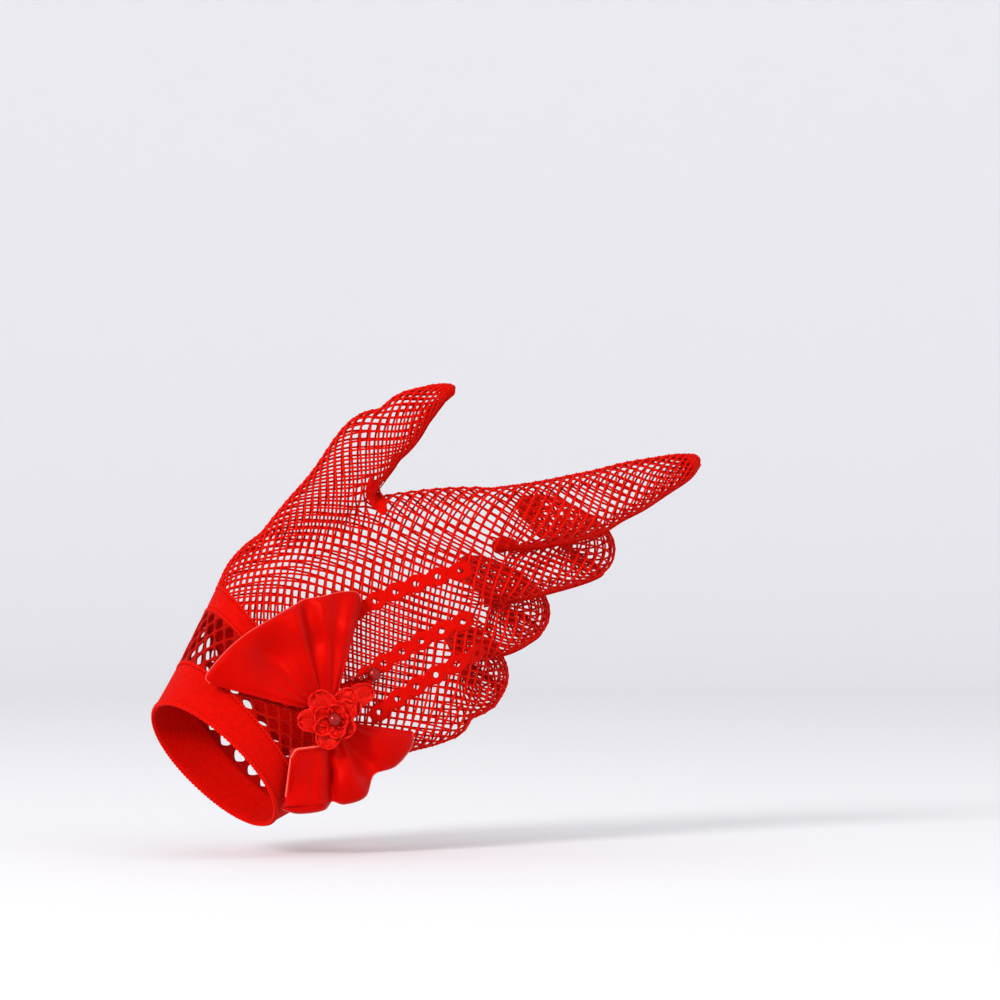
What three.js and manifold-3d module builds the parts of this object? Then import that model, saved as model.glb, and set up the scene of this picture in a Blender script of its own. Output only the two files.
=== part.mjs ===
import * as THREE from 'three';
import { mergeVertices } from 'three/addons/utils/BufferGeometryUtils.js';
import Module from 'manifold-3d';

// A right-hand fishnet glove in its worn shape, in millimetres. X runs to the right, Z up and Y away from
// the viewer, who sees the back of the hand. The origin is the middle of the wrist opening.

// Walls and gaps
const hemWall = 1.6;
const netWall = 1.2;
const seamGap = 0.3;
const ribbonWall = 1;
const petalWall = 1;
const narrowest = 0.4;

// Sides of the rounded sections, and steps along them
const wristSides = 36;
const palmSides = 28;
const fingerSides = 14;
const palmSteps = 7;
const fingerSteps = 8;

// Coarse cuff net: diamond gaps in staggered rows, and the width of the strand between two gaps
const gapColumns = 24;
const gapRows = 5;
const strandWidth = 1.5;

// The wrist and palm, one row for each cross-section from the hem to the knuckles: where the thumb-side
// and the little-finger-side borders lie, how far back the middle is, how much nearer the viewer the
// little-finger side is, half the thickness, and how square the section is (2 is an ellipse).
const palmSections = [
  { at: 'hemEdge', thumbX: -21.5, thumbZ: 19.1, littleX: 21.5, littleZ: -19.1, back: 0, turn: 8, thick: 20.5, square: 2.1 },
  { at: 'hemTop', thumbX: -13.5, thumbZ: 34.3, littleX: 30.2, littleZ: -14.9, back: 8, turn: 8, thick: 20.5, square: 2.1 },
  { at: 'netTop', thumbX: -4, thumbZ: 54, littleX: 42.1, littleZ: -8.7, back: 15, turn: 7, thick: 20, square: 2.2 },
  { at: 'bandTop', thumbX: -0.3, thumbZ: 61.8, littleX: 49.2, littleZ: -5.3, back: 17.5, turn: 6, thick: 19.5, square: 2.2 },
  { at: 'heel', thumbX: 5.2, thumbZ: 72.4, littleX: 59.8, littleZ: 0.2, back: 20, turn: 5, thick: 18.5, square: 2.3 },
  { at: 'thenar', thumbX: 16.8, thumbZ: 82, littleX: 68.9, littleZ: 3.6, back: 22, turn: 4, thick: 17, square: 2.3 },
  { at: 'thumbRoot', thumbX: 37, thumbZ: 88.6, littleX: 75, littleZ: 5, back: 23.5, turn: 3, thick: 15.5, square: 2.4 },
  { at: 'crotch', thumbX: 58, thumbZ: 94.7, littleX: 80.5, littleZ: 6.6, back: 25, turn: 1, thick: 14, square: 2.4 },
  { at: 'palmTop', thumbX: 79.5, thumbZ: 97.6, littleX: 87, littleZ: 9.5, back: 26.5, turn: -3, thick: 12.6, square: 2.4 },
  { at: 'knuckles', thumbX: 95, thumbZ: 98, littleX: 89.5, littleZ: 14.5, back: 29, turn: -8, thick: 10, square: 2.4 },
];

// Each finger, from its root inside the palm to its tip: the middle of the section and half its width.
// side is roughly the direction across the finger, depth its thickness as a share of its width, and
// splitAt the row where the finger's own tube begins.
const fingers = {
  thumb_net: {
    side: [-0.7, 0, 0.7], depth: 0.88, splitAt: 3.6,
    rows: [
      { x: 14, y: 22, z: 52, half: 9 },
      { x: 20, y: 21.5, z: 67.5, half: 11.2 },
      { x: 30.5, y: 20.5, z: 82.3, half: 11.3 },
      { x: 42.2, y: 20, z: 95.8, half: 11.3 },
      { x: 54.4, y: 21, z: 112.4, half: 11.6 },
      { x: 62.6, y: 22.5, z: 118, half: 9.3 },
      { x: 68.3, y: 24, z: 124.2, half: 8.1 },
      { x: 74.2, y: 26, z: 128.4, half: 5.8 },
      { x: 79, y: 28, z: 131.4, half: 3.8 },
      { x: 83.8, y: 29, z: 133.2, half: 2.2 },
    ],
  },
  index_finger_net: {
    side: [-0.1, 0, 1], depth: 0.88, splitAt: 1,
    rows: [
      { x: 80, y: 24, z: 85.5, half: 10 },
      { x: 103, y: 26, z: 87, half: 11.3 },
      { x: 117, y: 31, z: 88.7, half: 11.8 },
      { x: 131.5, y: 37, z: 91.8, half: 11.8 },
      { x: 141, y: 40, z: 95.6, half: 10.3 },
      { x: 149.5, y: 43, z: 98.8, half: 9.3 },
      { x: 159, y: 46, z: 102.6, half: 7.2 },
      { x: 167.5, y: 49, z: 105.9, half: 5.2 },
      { x: 172.5, y: 51, z: 108.6, half: 2.6 },
    ],
  },
  middle_finger_net: {
    side: [-0.25, 0.05, 0.96], depth: 0.9, splitAt: 1,
    rows: [
      { x: 78, y: 23, z: 65, half: 9.8 },
      { x: 103, y: 30.5, z: 66.3, half: 9.5 },
      { x: 117, y: 40, z: 69.3, half: 9.4 },
      { x: 130.5, y: 48, z: 73, half: 9.1 },
      { x: 135.3, y: 57, z: 76.2, half: 9 },
      { x: 133, y: 66, z: 80, half: 8.4 },
      { x: 126, y: 74, z: 85.5, half: 7.9 },
      { x: 116.5, y: 79.5, z: 90.5, half: 6.6 },
      { x: 109.5, y: 82, z: 93.5, half: 3 },
    ],
  },
  ring_finger_net: {
    side: [-0.4, 0.05, 0.9], depth: 0.9, splitAt: 1.2,
    rows: [
      { x: 74, y: 23, z: 44.5, half: 9.6 },
      { x: 97.5, y: 31.5, z: 46.5, half: 9.5 },
      { x: 106.5, y: 42, z: 49.8, half: 9.2 },
      { x: 111.2, y: 52, z: 53.6, half: 9 },
      { x: 109, y: 61, z: 57.8, half: 8.2 },
      { x: 102, y: 68.5, z: 63, half: 7.7 },
      { x: 94, y: 73.5, z: 68, half: 6.4 },
      { x: 88, y: 75.5, z: 71.8, half: 3 },
    ],
  },
  little_finger_net: {
    side: [-0.4, 0.05, 0.9], depth: 0.9, splitAt: 2,
    rows: [
      { x: 68, y: 24.5, z: 23.5, half: 9 },
      { x: 88, y: 30.5, z: 24.5, half: 9.8 },
      { x: 95, y: 41, z: 28.2, half: 8.8 },
      { x: 96.5, y: 50, z: 32.5, half: 8.2 },
      { x: 93.5, y: 57.5, z: 37, half: 7.4 },
      { x: 88, y: 63.5, z: 42, half: 6.6 },
      { x: 83, y: 67, z: 46.2, half: 3 },
    ],
  },
};

// The bow. Its axis runs from the lower loop to the upper one, and the knot is wrapped round its waist.
// A row of a loop is one line from the knot to the rolled outer edge: where on the waist it starts, where
// it ends, half the height of the roll, and how far the front layer is folded out (or in, if negative).
const bowMiddle = { x: 40, z: 17, axisX: -0.4, axisZ: 0.92, leanX: 0.26, leanZ: 0.12, lift: 1.4 };
const knot = { long: 11, across: 12, deep: 6.4, waist: 0.85 };
const waistHalf = 1.1;
const bowSteps = 6;
const bowLoops = {
  bow_upper_loop: {
    end: 1,
    rows: [
      { waist: -6.2, toX: -0.5, toZ: 28.5, roll: 0.8, fold: 0 },
      { waist: -5.2, toX: -1.5, toZ: 31.5, roll: 1.4, fold: 0.5 },
      { waist: -4, toX: 5.5, toZ: 40, roll: 2.4, fold: 1 },
      { waist: -2.8, toX: 12, toZ: 45.5, roll: 2.8, fold: -1 },
      { waist: -1.6, toX: 20, toZ: 50.5, roll: 3, fold: 0 },
      { waist: -0.4, toX: 28.5, toZ: 55.5, roll: 2.8, fold: 2 },
      { waist: 0.8, toX: 32, toZ: 57.5, roll: 1.8, fold: -2.5 },
      { waist: 2, toX: 38, toZ: 58.5, roll: 2.6, fold: 1.5 },
      { waist: 3.4, toX: 44, toZ: 60, roll: 2.2, fold: -1 },
      { waist: 4.8, toX: 50, toZ: 60, roll: 2.2, fold: 1.5 },
      { waist: 6, toX: 51.5, toZ: 56.5, roll: 1.2, fold: 0.5 },
    ],
  },
  bow_lower_loop: {
    end: -1,
    rows: [
      { waist: -6.4, toX: 24.5, toZ: -15, roll: 1.2, fold: 0.5 },
      { waist: -5, toX: 30, toZ: -16.5, roll: 2.2, fold: 2 },
      { waist: -3.6, toX: 38.5, toZ: -15.5, roll: 2.2, fold: 1 },
      { waist: -2.2, toX: 41.5, toZ: -12.5, roll: 1.2, fold: -2 },
      { waist: -0.8, toX: 46, toZ: -13.5, roll: 2, fold: 1.5 },
      { waist: 0.6, toX: 53, toZ: -11, roll: 2, fold: 1 },
      { waist: 2, toX: 56, toZ: -3.5, roll: 1.2, fold: -2 },
      { waist: 3.4, toX: 63.5, toZ: -0.5, roll: 2.2, fold: 1.5 },
      { waist: 4.8, toX: 69, toZ: 6, roll: 2.2, fold: 1.5 },
      { waist: 6.2, toX: 69.5, toZ: 11, roll: 1, fold: 0 },
    ],
  },
};

// The lace flower on the knot and the leaf beside it. A petal's turn is in degrees from +X towards +Z.
const flower = { x: 42.5, z: 16, disc: 3, thick: 1.8, cup: 2.2 };
const petals = [
  { turn: 128, long: 11.5, wide: 4.6 },
  { turn: 182, long: 12.5, wide: 4.2 },
  { turn: 250, long: 10.5, wide: 4.4 },
  { turn: 322, long: 8, wide: 3.8 },
  { turn: 40, long: 8.5, wide: 4 },
];
const leaf = { x: 46.5, z: 22.5, turn: 20, long: 10, wide: 3.8, cup: 1, drop: 3.2 };

// Round beads: where they sit and what carries them
const beadSides = 10;
const beads = {
  flower_bead: { x: 42.5, z: 16, radius: 2.45, on: 'flower' },
  spray_bead: { x: 56, z: 31.5, radius: 2.5, on: 'hand' },
  spray_bead_small: { x: 51.3, z: 30, radius: 1.3, on: 'hand' },
  spray_bead_tiny: { x: 48.4, z: 29.6, radius: 1.05, on: 'hand' },
};

const wasm = await Module();
wasm.setup();

const range = (count) => Array.from({ length: count }, (_, i) => i);

const red = {
  knit: new THREE.Color('#e8160c'),
  net: new THREE.Color('#d81410'),
  satin: new THREE.Color('#e3120e'),
  lace: new THREE.Color('#c91010'),
  bead: new THREE.Color('#c00a12'),
};

// A value of a table at a place between its rows, along a smooth curve through them
function between(rows, column, place) {
  const last = rows.length - 1;
  const i = Math.min(Math.floor(place), last - 1);
  const t = place - i;
  const value = (k) => rows[Math.min(Math.max(k, 0), last)][column];
  const p0 = i > 0 ? value(i - 1) : 2 * value(0) - value(1);
  const p3 = i + 2 <= last ? value(i + 2) : 2 * value(last) - value(last - 1);
  const [p1, p2] = [value(i), value(i + 1)];
  return 0.5 * (2 * p1 + (p2 - p0) * t + (2 * p0 - 5 * p1 + 4 * p2 - p3) * t * t
    + (3 * p1 - p0 - 3 * p2 + p3) * t ** 3);
}

function palmMiddle(place) {
  return new THREE.Vector3(
    (between(palmSections, 'thumbX', place) + between(palmSections, 'littleX', place)) / 2,
    between(palmSections, 'back', place),
    (between(palmSections, 'thumbZ', place) + between(palmSections, 'littleZ', place)) / 2,
  );
}

// The middle of a palm section, its half axes across and towards the viewer, and its direction
function palmFrame(place) {
  const last = palmSections.length - 1;
  const middle = palmMiddle(place);
  const across = new THREE.Vector3(
    between(palmSections, 'littleX', place) - between(palmSections, 'thumbX', place),
    -between(palmSections, 'turn', place),
    between(palmSections, 'littleZ', place) - between(palmSections, 'thumbZ', place),
  );
  const ahead = palmMiddle(Math.min(place + 0.25, last)).sub(palmMiddle(Math.max(place - 0.25, 0)));
  const width = across.length() / 2;
  across.normalize();
  ahead.addScaledVector(across, -ahead.dot(across)).normalize();
  const front = new THREE.Vector3().crossVectors(across, ahead);
  return { middle, across, ahead, front, width };
}

// A point of the wrist or palm, at a share of the way round a section. inset moves it inwards, towards
// the hollow, and shift along the arm.
function palmPoint(place, share, inset, shift) {
  const { middle, across, ahead, front, width } = palmFrame(place);
  const thick = between(palmSections, 'thick', place);
  const power = 2 / between(palmSections, 'square', place);
  const bent = (value) => Math.sign(value) * Math.abs(value) ** power;
  const angle = share * Math.PI * 2;
  return middle.clone()
    .addScaledVector(ahead, shift)
    .addScaledVector(across, bent(Math.cos(angle)) * (width - inset))
    .addScaledVector(front, bent(Math.sin(angle)) * (thick - inset));
}

function palmRing(place, sides, inset, shift = 0) {
  return range(sides).map((i) => palmPoint(place, i / sides, inset, shift));
}

function fingerMiddle(rows, place) {
  return new THREE.Vector3(...['x', 'y', 'z'].map((column) => between(rows, column, place)));
}

// One ring of points of a finger, with the same meaning of inset and shift
function fingerRing(finger, place, inset, shift = 0) {
  const last = finger.rows.length - 1;
  const middle = fingerMiddle(finger.rows, place);
  const ahead = fingerMiddle(finger.rows, Math.min(place + 0.2, last))
    .sub(fingerMiddle(finger.rows, Math.max(place - 0.2, 0))).normalize();
  const side = new THREE.Vector3(...finger.side);
  side.addScaledVector(ahead, -side.dot(ahead)).normalize();
  const front = new THREE.Vector3().crossVectors(side, ahead);
  const half = between(finger.rows, 'half', place);
  return range(fingerSides).map((i) => {
    const angle = (i / fingerSides) * Math.PI * 2;
    return middle.clone()
      .addScaledVector(ahead, shift)
      .addScaledVector(side, Math.cos(angle) * Math.max(half - inset, narrowest))
      .addScaledVector(front, Math.sin(angle) * Math.max(half * finger.depth - inset, narrowest));
  });
}

// Triangles between rings that follow one another; ringStarts holds the number of each ring's first point
function addBands(faces, ringStarts, sides, inward) {
  for (let r = 0; r + 1 < ringStarts.length; r += 1) {
    for (let i = 0; i < sides; i += 1) {
      const j = (i + 1) % sides;
      const [a, b] = [ringStarts[r] + i, ringStarts[r] + j];
      const [c, d] = [ringStarts[r + 1] + i, ringStarts[r + 1] + j];
      faces.push(...(inward ? [a, c, b, b, c, d] : [a, b, c, b, d, c]));
    }
  }
}

function addFan(faces, start, sides, centre, inward) {
  for (let i = 0; i < sides; i += 1) {
    const j = (i + 1) % sides;
    faces.push(...(inward ? [start + i, centre, start + j] : [start + i, start + j, centre]));
  }
}

function geometryOf(points, faces) {
  const geometry = new THREE.BufferGeometry();
  geometry.setAttribute('position', new THREE.Float32BufferAttribute(points.flatMap((p) => p.toArray()), 3));
  geometry.setIndex(faces);
  return geometry;
}

// Turns a closed geometry so that its faces point out
function facingOut(geometry) {
  const at = geometry.getAttribute('position');
  const index = geometry.getIndex();
  const [a, b, c] = [new THREE.Vector3(), new THREE.Vector3(), new THREE.Vector3()];
  let volume = 0;
  for (let i = 0; i < index.count; i += 3) {
    a.fromBufferAttribute(at, index.getX(i));
    b.fromBufferAttribute(at, index.getX(i + 1));
    c.fromBufferAttribute(at, index.getX(i + 2));
    volume += a.dot(b.cross(c));
  }
  if (volume < 0) {
    const turned = Array.from(index.array);
    for (let i = 0; i < turned.length; i += 3) {
      [turned[i + 1], turned[i + 2]] = [turned[i + 2], turned[i + 1]];
    }
    geometry.setIndex(turned);
  }
  return geometry;
}

// A solid loft through rings, closed at both ends
function loft(rings) {
  const sides = rings[0].length;
  const middleOf = (ring) => ring.reduce((sum, p) => sum.add(p), new THREE.Vector3()).divideScalar(sides);
  const points = [...rings.flat(), middleOf(rings[0]), middleOf(rings.at(-1))];
  const faces = [];
  const starts = rings.map((_, r) => r * sides);
  addBands(faces, starts, sides, false);
  addFan(faces, 0, sides, rings.length * sides, true);
  addFan(faces, starts.at(-1), sides, rings.length * sides + 1, false);
  return facingOut(geometryOf(points, faces));
}

// A tube wall with both ends open, between outer and inner rings
function openTube(outer, inner) {
  const sides = outer[0].length;
  const loop = [...outer, ...inner.toReversed(), outer[0]];
  const faces = [];
  const starts = [...loop.slice(0, -1).map((_, r) => r * sides), 0];
  addBands(faces, starts, sides, false);
  return facingOut(geometryOf(loop.slice(0, -1).flat(), faces));
}

// A tube wall that is open at its first ring and closed at its tip
function closedTip(outer, inner) {
  const sides = outer[0].length;
  const points = [...outer.flat(), ...inner.flat()];
  const middleOf = (ring) => ring.reduce((sum, p) => sum.add(p), new THREE.Vector3()).divideScalar(sides);
  const tipOut = middleOf(outer.at(-1));
  const tipIn = middleOf(inner.at(-1));
  const ahead = tipOut.clone().sub(tipIn).normalize();
  points.push(tipOut.addScaledVector(ahead, netWall), tipIn);
  const faces = [];
  const outerStarts = outer.map((_, r) => r * sides);
  const innerStarts = inner.map((_, r) => (outer.length + r) * sides);
  addBands(faces, outerStarts, sides, false);
  addBands(faces, innerStarts, sides, true);
  addBands(faces, [innerStarts[0], outerStarts[0]], sides, false);
  addFan(faces, outerStarts.at(-1), sides, points.length - 2, false);
  addFan(faces, innerStarts.at(-1), sides, points.length - 1, true);
  return facingOut(geometryOf(points, faces));
}

function solidOf(geometry) {
  const bare = geometry.clone();
  bare.deleteAttribute('normal');
  bare.deleteAttribute('uv');
  const merged = mergeVertices(bare, 1e-4);
  return new wasm.Manifold(new wasm.Mesh({
    numProp: 3,
    vertProperties: new Float32Array(merged.getAttribute('position').array),
    triVerts: new Uint32Array(merged.getIndex().array),
  }));
}

function geometryFrom(solid) {
  const mesh = solid.getMesh();
  const geometry = new THREE.BufferGeometry();
  geometry.setAttribute('position', new THREE.Float32BufferAttribute(mesh.vertProperties, 3));
  geometry.setIndex(Array.from(mesh.triVerts));
  return geometry;
}

const placeOf = (name) => palmSections.findIndex((row) => row.at === name);
const glove = new THREE.Group();

function addPiece(name, geometry, color, roughness) {
  const mesh = new THREE.Mesh(geometry, new THREE.MeshStandardMaterial({ color, roughness, metalness: 0 }));
  mesh.name = name;
  glove.add(mesh);
}

// Hem and band: plain knitted walls between two places of the wrist
function wristWall(from, to, steps, wall) {
  const places = range(steps + 1).map((k) => from + ((to - from) * k) / steps);
  const shifts = places.map((_, k) => (k === 0 ? seamGap / 2 : k === steps ? -seamGap / 2 : 0));
  const rings = (inset) => places.map((place, k) => palmRing(place, wristSides, inset, shifts[k]));
  return openTube(rings(0), rings(wall));
}

// Coarse net: staggered diamond cells with a diamond gap through each, and solid half cells at both edges
function cuffNet(from, to) {
  const points = [];
  const faces = [];
  const topRow = gapRows + 1;
  const known = new Map();
  const pointAt = (column, row, inset, shift = 0) => (
    palmPoint(from + ((to - from) * row) / topRow, column / gapColumns, inset, shift));
  const corner = (column, row, inset) => {
    const key = `${((column % gapColumns) + gapColumns) % gapColumns},${row},${inset}`;
    if (!known.has(key)) {
      const shift = row === 0 ? seamGap / 2 : row === topRow ? -seamGap / 2 : 0;
      known.set(key, points.length);
      points.push(pointAt(column, row, inset, shift));
    }
    return known.get(key);
  };
  for (const row of range(gapRows)) {
    for (const column of range(gapColumns)) {
      const middleColumn = column + (row % 2) * 0.5;
      const middleRow = row + 1;
      const around = [[0, 1], [0.5, 0], [0, -1], [-0.5, 0]];
      const outer = around.map(([dc, dr]) => corner(middleColumn + dc, middleRow + dr, 0));
      const inner = around.map(([dc, dr]) => corner(middleColumn + dc, middleRow + dr, netWall));
      const tall = points[outer[0]].distanceTo(points[outer[2]]);
      const wide = points[outer[1]].distanceTo(points[outer[3]]);
      const open = 1 - (strandWidth * Math.hypot(tall, wide)) / (tall * wide);
      const hole = (inset) => around.map(([dc, dr]) => {
        points.push(pointAt(middleColumn + dc * open, middleRow + dr * open, inset));
        return points.length - 1;
      });
      const holeOut = hole(0);
      const holeIn = hole(netWall);
      for (const k of range(4)) {
        const n = (k + 1) % 4;
        faces.push(outer[k], outer[n], holeOut[n], outer[k], holeOut[n], holeOut[k]);
        faces.push(inner[k], holeIn[n], inner[n], inner[k], holeIn[k], holeIn[n]);
        faces.push(holeOut[k], holeOut[n], holeIn[n], holeOut[k], holeIn[n], holeIn[k]);
      }
    }
  }
  for (const column of range(gapColumns)) {
    const upperOffset = (gapRows - 1) % 2 === 0 ? 0 : 0.5;
    const halves = [
      { edge: [column, column + 1], row: 0, tipColumn: column + 0.5, tipRow: 1 },
      { edge: [column + 1 + upperOffset, column + upperOffset], row: topRow, tipColumn: column + 0.5 + upperOffset, tipRow: topRow - 1 },
    ];
    for (const half of halves) {
      const [a, b] = half.edge.map((c) => corner(c, half.row, 0));
      const [c, d] = half.edge.map((e) => corner(e, half.row, netWall));
      const tipOut = corner(half.tipColumn, half.tipRow, 0);
      const tipIn = corner(half.tipColumn, half.tipRow, netWall);
      faces.push(a, tipOut, b, d, tipIn, c, a, b, d, a, d, c);
    }
  }
  return facingOut(geometryOf(points, faces));
}

addPiece('wrist_hem', wristWall(placeOf('hemEdge'), placeOf('hemTop'), 2, hemWall), red.knit, 0.85);
addPiece('cuff_net', cuffNet(placeOf('hemTop'), placeOf('netTop')), red.net, 0.8);
addPiece('cuff_band', wristWall(placeOf('netTop'), placeOf('bandTop'), 1, hemWall), red.knit, 0.85);

// The hand: palm and finger roots joined, the same shapes one wall smaller cut away, then divided in two
function palmLoft(inset, startShift, endShift) {
  const from = placeOf('bandTop');
  const to = palmSections.length - 1;
  const places = range(palmSteps + 1).map((k) => from + ((to - from) * k) / palmSteps);
  const rings = places.map((place, k) => {
    const shift = k === 0 ? startShift : k === palmSteps ? endShift : 0;
    return palmRing(place, palmSides, inset, shift);
  });
  const rounded = [[0.12, 2], [0.45, 4.5]].map(([share, ahead]) => (
    palmRing(to, palmSides, inset + palmSections.at(-1).thick * share, endShift + ahead)));
  return loft([...rings, ...rounded]);
}

function rootLoft(finger, inset, endShift) {
  const steps = Math.ceil(finger.splitAt) + 1;
  const places = range(steps + 1).map((k) => (finger.splitAt * k) / steps);
  return loft(places.map((place, k) => {
    const shift = k === 0 ? inset : k === steps ? endShift : 0;
    return fingerRing(finger, place, inset, shift);
  }));
}

const throughEnd = 4;
let handOutside = solidOf(palmLoft(0, seamGap / 2, 0));
let handInside = solidOf(palmLoft(netWall, -throughEnd, -netWall));
for (const finger of Object.values(fingers)) {
  handOutside = handOutside.add(solidOf(rootLoft(finger, 0, -seamGap / 2)));
  handInside = handInside.add(solidOf(rootLoft(finger, netWall, throughEnd)));
}
const handWall = handOutside.subtract(handInside);

// The side seams divide the hand into its back and its palm. The half space on the viewer's side of them
// is a loft through the middles of the palm sections, bent towards the viewer beyond the thumb's side.
const sideSeam = { thumbReach: 60, littleReach: 8, bend: 0.3, deep: 80, before: 5, beyond: 40 };
function viewerHalf(offset) {
  const from = placeOf('bandTop');
  const to = palmSections.length - 1;
  const sections = [
    { place: from, shift: -sideSeam.before },
    ...range(palmSteps + 1).map((k) => ({ place: from + ((to - from) * k) / palmSteps, shift: 0 })),
    { place: to, shift: sideSeam.beyond },
  ];
  return solidOf(loft(sections.map(({ place, shift }) => {
    const { middle, across, ahead, front, width } = palmFrame(place);
    const pointAt = (over, near) => middle.clone()
      .addScaledVector(ahead, shift)
      .addScaledVector(across, over)
      .addScaledVector(front, near + offset);
    const { thumbReach, littleReach, bend, deep } = sideSeam;
    return [
      pointAt(-width - thumbReach, thumbReach * bend),
      pointAt(-width, 0),
      pointAt(width + littleReach, 0),
      pointAt(width + littleReach, deep),
      pointAt(-width - thumbReach, deep),
    ];
  })));
}
addPiece('hand_back_net', geometryFrom(handWall.intersect(viewerHalf(seamGap / 2))), red.net, 0.8);
addPiece('hand_palm_net', geometryFrom(handWall.subtract(viewerHalf(-seamGap / 2))), red.net, 0.8);

for (const [name, finger] of Object.entries(fingers)) {
  const last = finger.rows.length - 1;
  const places = range(fingerSteps + 1).map((k) => finger.splitAt + ((last - finger.splitAt) * k) / fingerSteps);
  const outer = places.map((place, k) => fingerRing(finger, place, 0, k === 0 ? seamGap / 2 : 0));
  const inner = places.map((place, k) => {
    const shift = k === 0 ? seamGap / 2 : k === fingerSteps ? -netWall : 0;
    return fingerRing(finger, place, netWall, shift);
  });
  addPiece(name, closedTip(outer, inner), red.net, 0.8);
}

// How far back the outside of the hand lies behind a point of the front view
const handSkin = new THREE.Mesh(geometryFrom(handOutside), new THREE.MeshBasicMaterial({ side: THREE.DoubleSide }));
const wristSkin = new THREE.Mesh(
  loft(range(9).map((k) => palmRing((placeOf('bandTop') * k) / 8, wristSides, 0))),
  new THREE.MeshBasicMaterial({ side: THREE.DoubleSide }),
);
const lineOfSight = new THREE.Raycaster();
function skinDepth(x, z) {
  lineOfSight.set(new THREE.Vector3(x, -200, z), new THREE.Vector3(0, 1, 0));
  const hits = lineOfSight.intersectObjects([handSkin, wristSkin]);
  return hits.length ? hits[0].point.y : Infinity;
}

// A sheet given by a grid of points, thickened by its wall
function sheetSolid(grid, wall) {
  const rows = grid.length;
  const columns = grid[0].length;
  const normalAt = (r, c) => {
    const along = grid[Math.min(r + 1, rows - 1)][c].clone().sub(grid[Math.max(r - 1, 0)][c]);
    const over = grid[r][Math.min(c + 1, columns - 1)].clone().sub(grid[r][Math.max(c - 1, 0)]);
    return along.cross(over).normalize();
  };
  const points = [];
  for (const side of [0.5, -0.5]) {
    for (const r of range(rows)) {
      for (const c of range(columns)) {
        points.push(grid[r][c].clone().addScaledVector(normalAt(r, c), side * wall));
      }
    }
  }
  const at = (layer, r, c) => layer * rows * columns + r * columns + c;
  const faces = [];
  for (const r of range(rows - 1)) {
    for (const c of range(columns - 1)) {
      const quad = [[r, c], [r + 1, c], [r + 1, c + 1], [r, c + 1]];
      const [a, b, d, e] = quad.map(([p, q]) => at(0, p, q));
      const [f, g, h, k] = quad.map(([p, q]) => at(1, p, q));
      faces.push(a, b, d, a, d, e, f, h, g, f, k, h);
    }
  }
  const rim = [
    ...range(rows - 1).map((r) => [r, 0, r + 1, 0]),
    ...range(columns - 1).map((c) => [rows - 1, c, rows - 1, c + 1]),
    ...range(rows - 1).map((r) => [rows - 1 - r, columns - 1, rows - 2 - r, columns - 1]),
    ...range(columns - 1).map((c) => [0, columns - 1 - c, 0, columns - 2 - c]),
  ];
  for (const [r0, c0, r1, c1] of rim) {
    faces.push(at(0, r0, c0), at(1, r1, c1), at(0, r1, c1), at(0, r0, c0), at(1, r0, c0), at(1, r1, c1));
  }
  return facingOut(geometryOf(points, faces));
}

const bowAxis = new THREE.Vector3(bowMiddle.axisX, 0, bowMiddle.axisZ).normalize();
const bowAcross = new THREE.Vector3(bowAxis.z, 0, -bowAxis.x);
const knotBack = skinDepth(bowMiddle.x, bowMiddle.z) - bowMiddle.lift;

// The plane that the bow lies on, kept clear of the glove under it
function bowDepth(x, z) {
  const plane = knotBack + bowMiddle.leanX * (x - bowMiddle.x) + bowMiddle.leanZ * (z - bowMiddle.z);
  return Math.min(plane, skinDepth(x, z) - bowMiddle.lift);
}

// A ribbon loop: the front layer runs from the knot to the rolled edge, and the back layer returns
function bowLoop({ end, rows }) {
  const reach = end * (knot.long / 2 + seamGap + 0.2);
  const grid = rows.map((row) => {
    const startX = bowMiddle.x + bowAxis.x * reach + bowAcross.x * row.waist;
    const startZ = bowMiddle.z + bowAxis.z * reach + bowAcross.z * row.waist;
    return range(2 * bowSteps).map((k) => {
      const turn = ((k + 0.5) / (2 * bowSteps)) * Math.PI * 2;
      const out = (1 - Math.cos(turn)) / (1 + Math.cos(Math.PI / (2 * bowSteps)));
      const x = startX + (row.toX - startX) * out;
      const z = startZ + (row.toZ - startZ) * out;
      const half = waistHalf + (row.roll - waistHalf) * out;
      const spread = Math.sign(Math.sin(turn)) * Math.abs(Math.sin(turn)) ** 0.5;
      const fold = turn < Math.PI ? row.fold * out * Math.sin(turn) : 0;
      return new THREE.Vector3(x, bowDepth(x, z) - half * (1 + spread) - fold, z);
    });
  });
  return sheetSolid(grid, ribbonWall);
}
for (const [name, loop] of Object.entries(bowLoops)) {
  addPiece(name, bowLoop(loop), red.satin, 0.35);
}

// The knot: an oval band round the waist, fuller in its middle
const knotFront = knotBack - knot.deep;
function bowKnot() {
  const rings = [-1, -0.5, 0.5, 1].map((along) => {
    const full = Math.abs(along) === 1 ? knot.waist : 1;
    return range(beadSides).map((i) => {
      const angle = (i / beadSides) * Math.PI * 2;
      return new THREE.Vector3(bowMiddle.x, (knotBack + knotFront) / 2, bowMiddle.z)
        .addScaledVector(bowAxis, (along * knot.long) / 2)
        .addScaledVector(bowAcross, (Math.cos(angle) * knot.across * full) / 2)
        .add(new THREE.Vector3(0, (Math.sin(angle) * knot.deep * full) / 2, 0));
    });
  });
  return loft(rings);
}
addPiece('bow_knot', bowKnot(), red.satin, 0.35);

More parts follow.
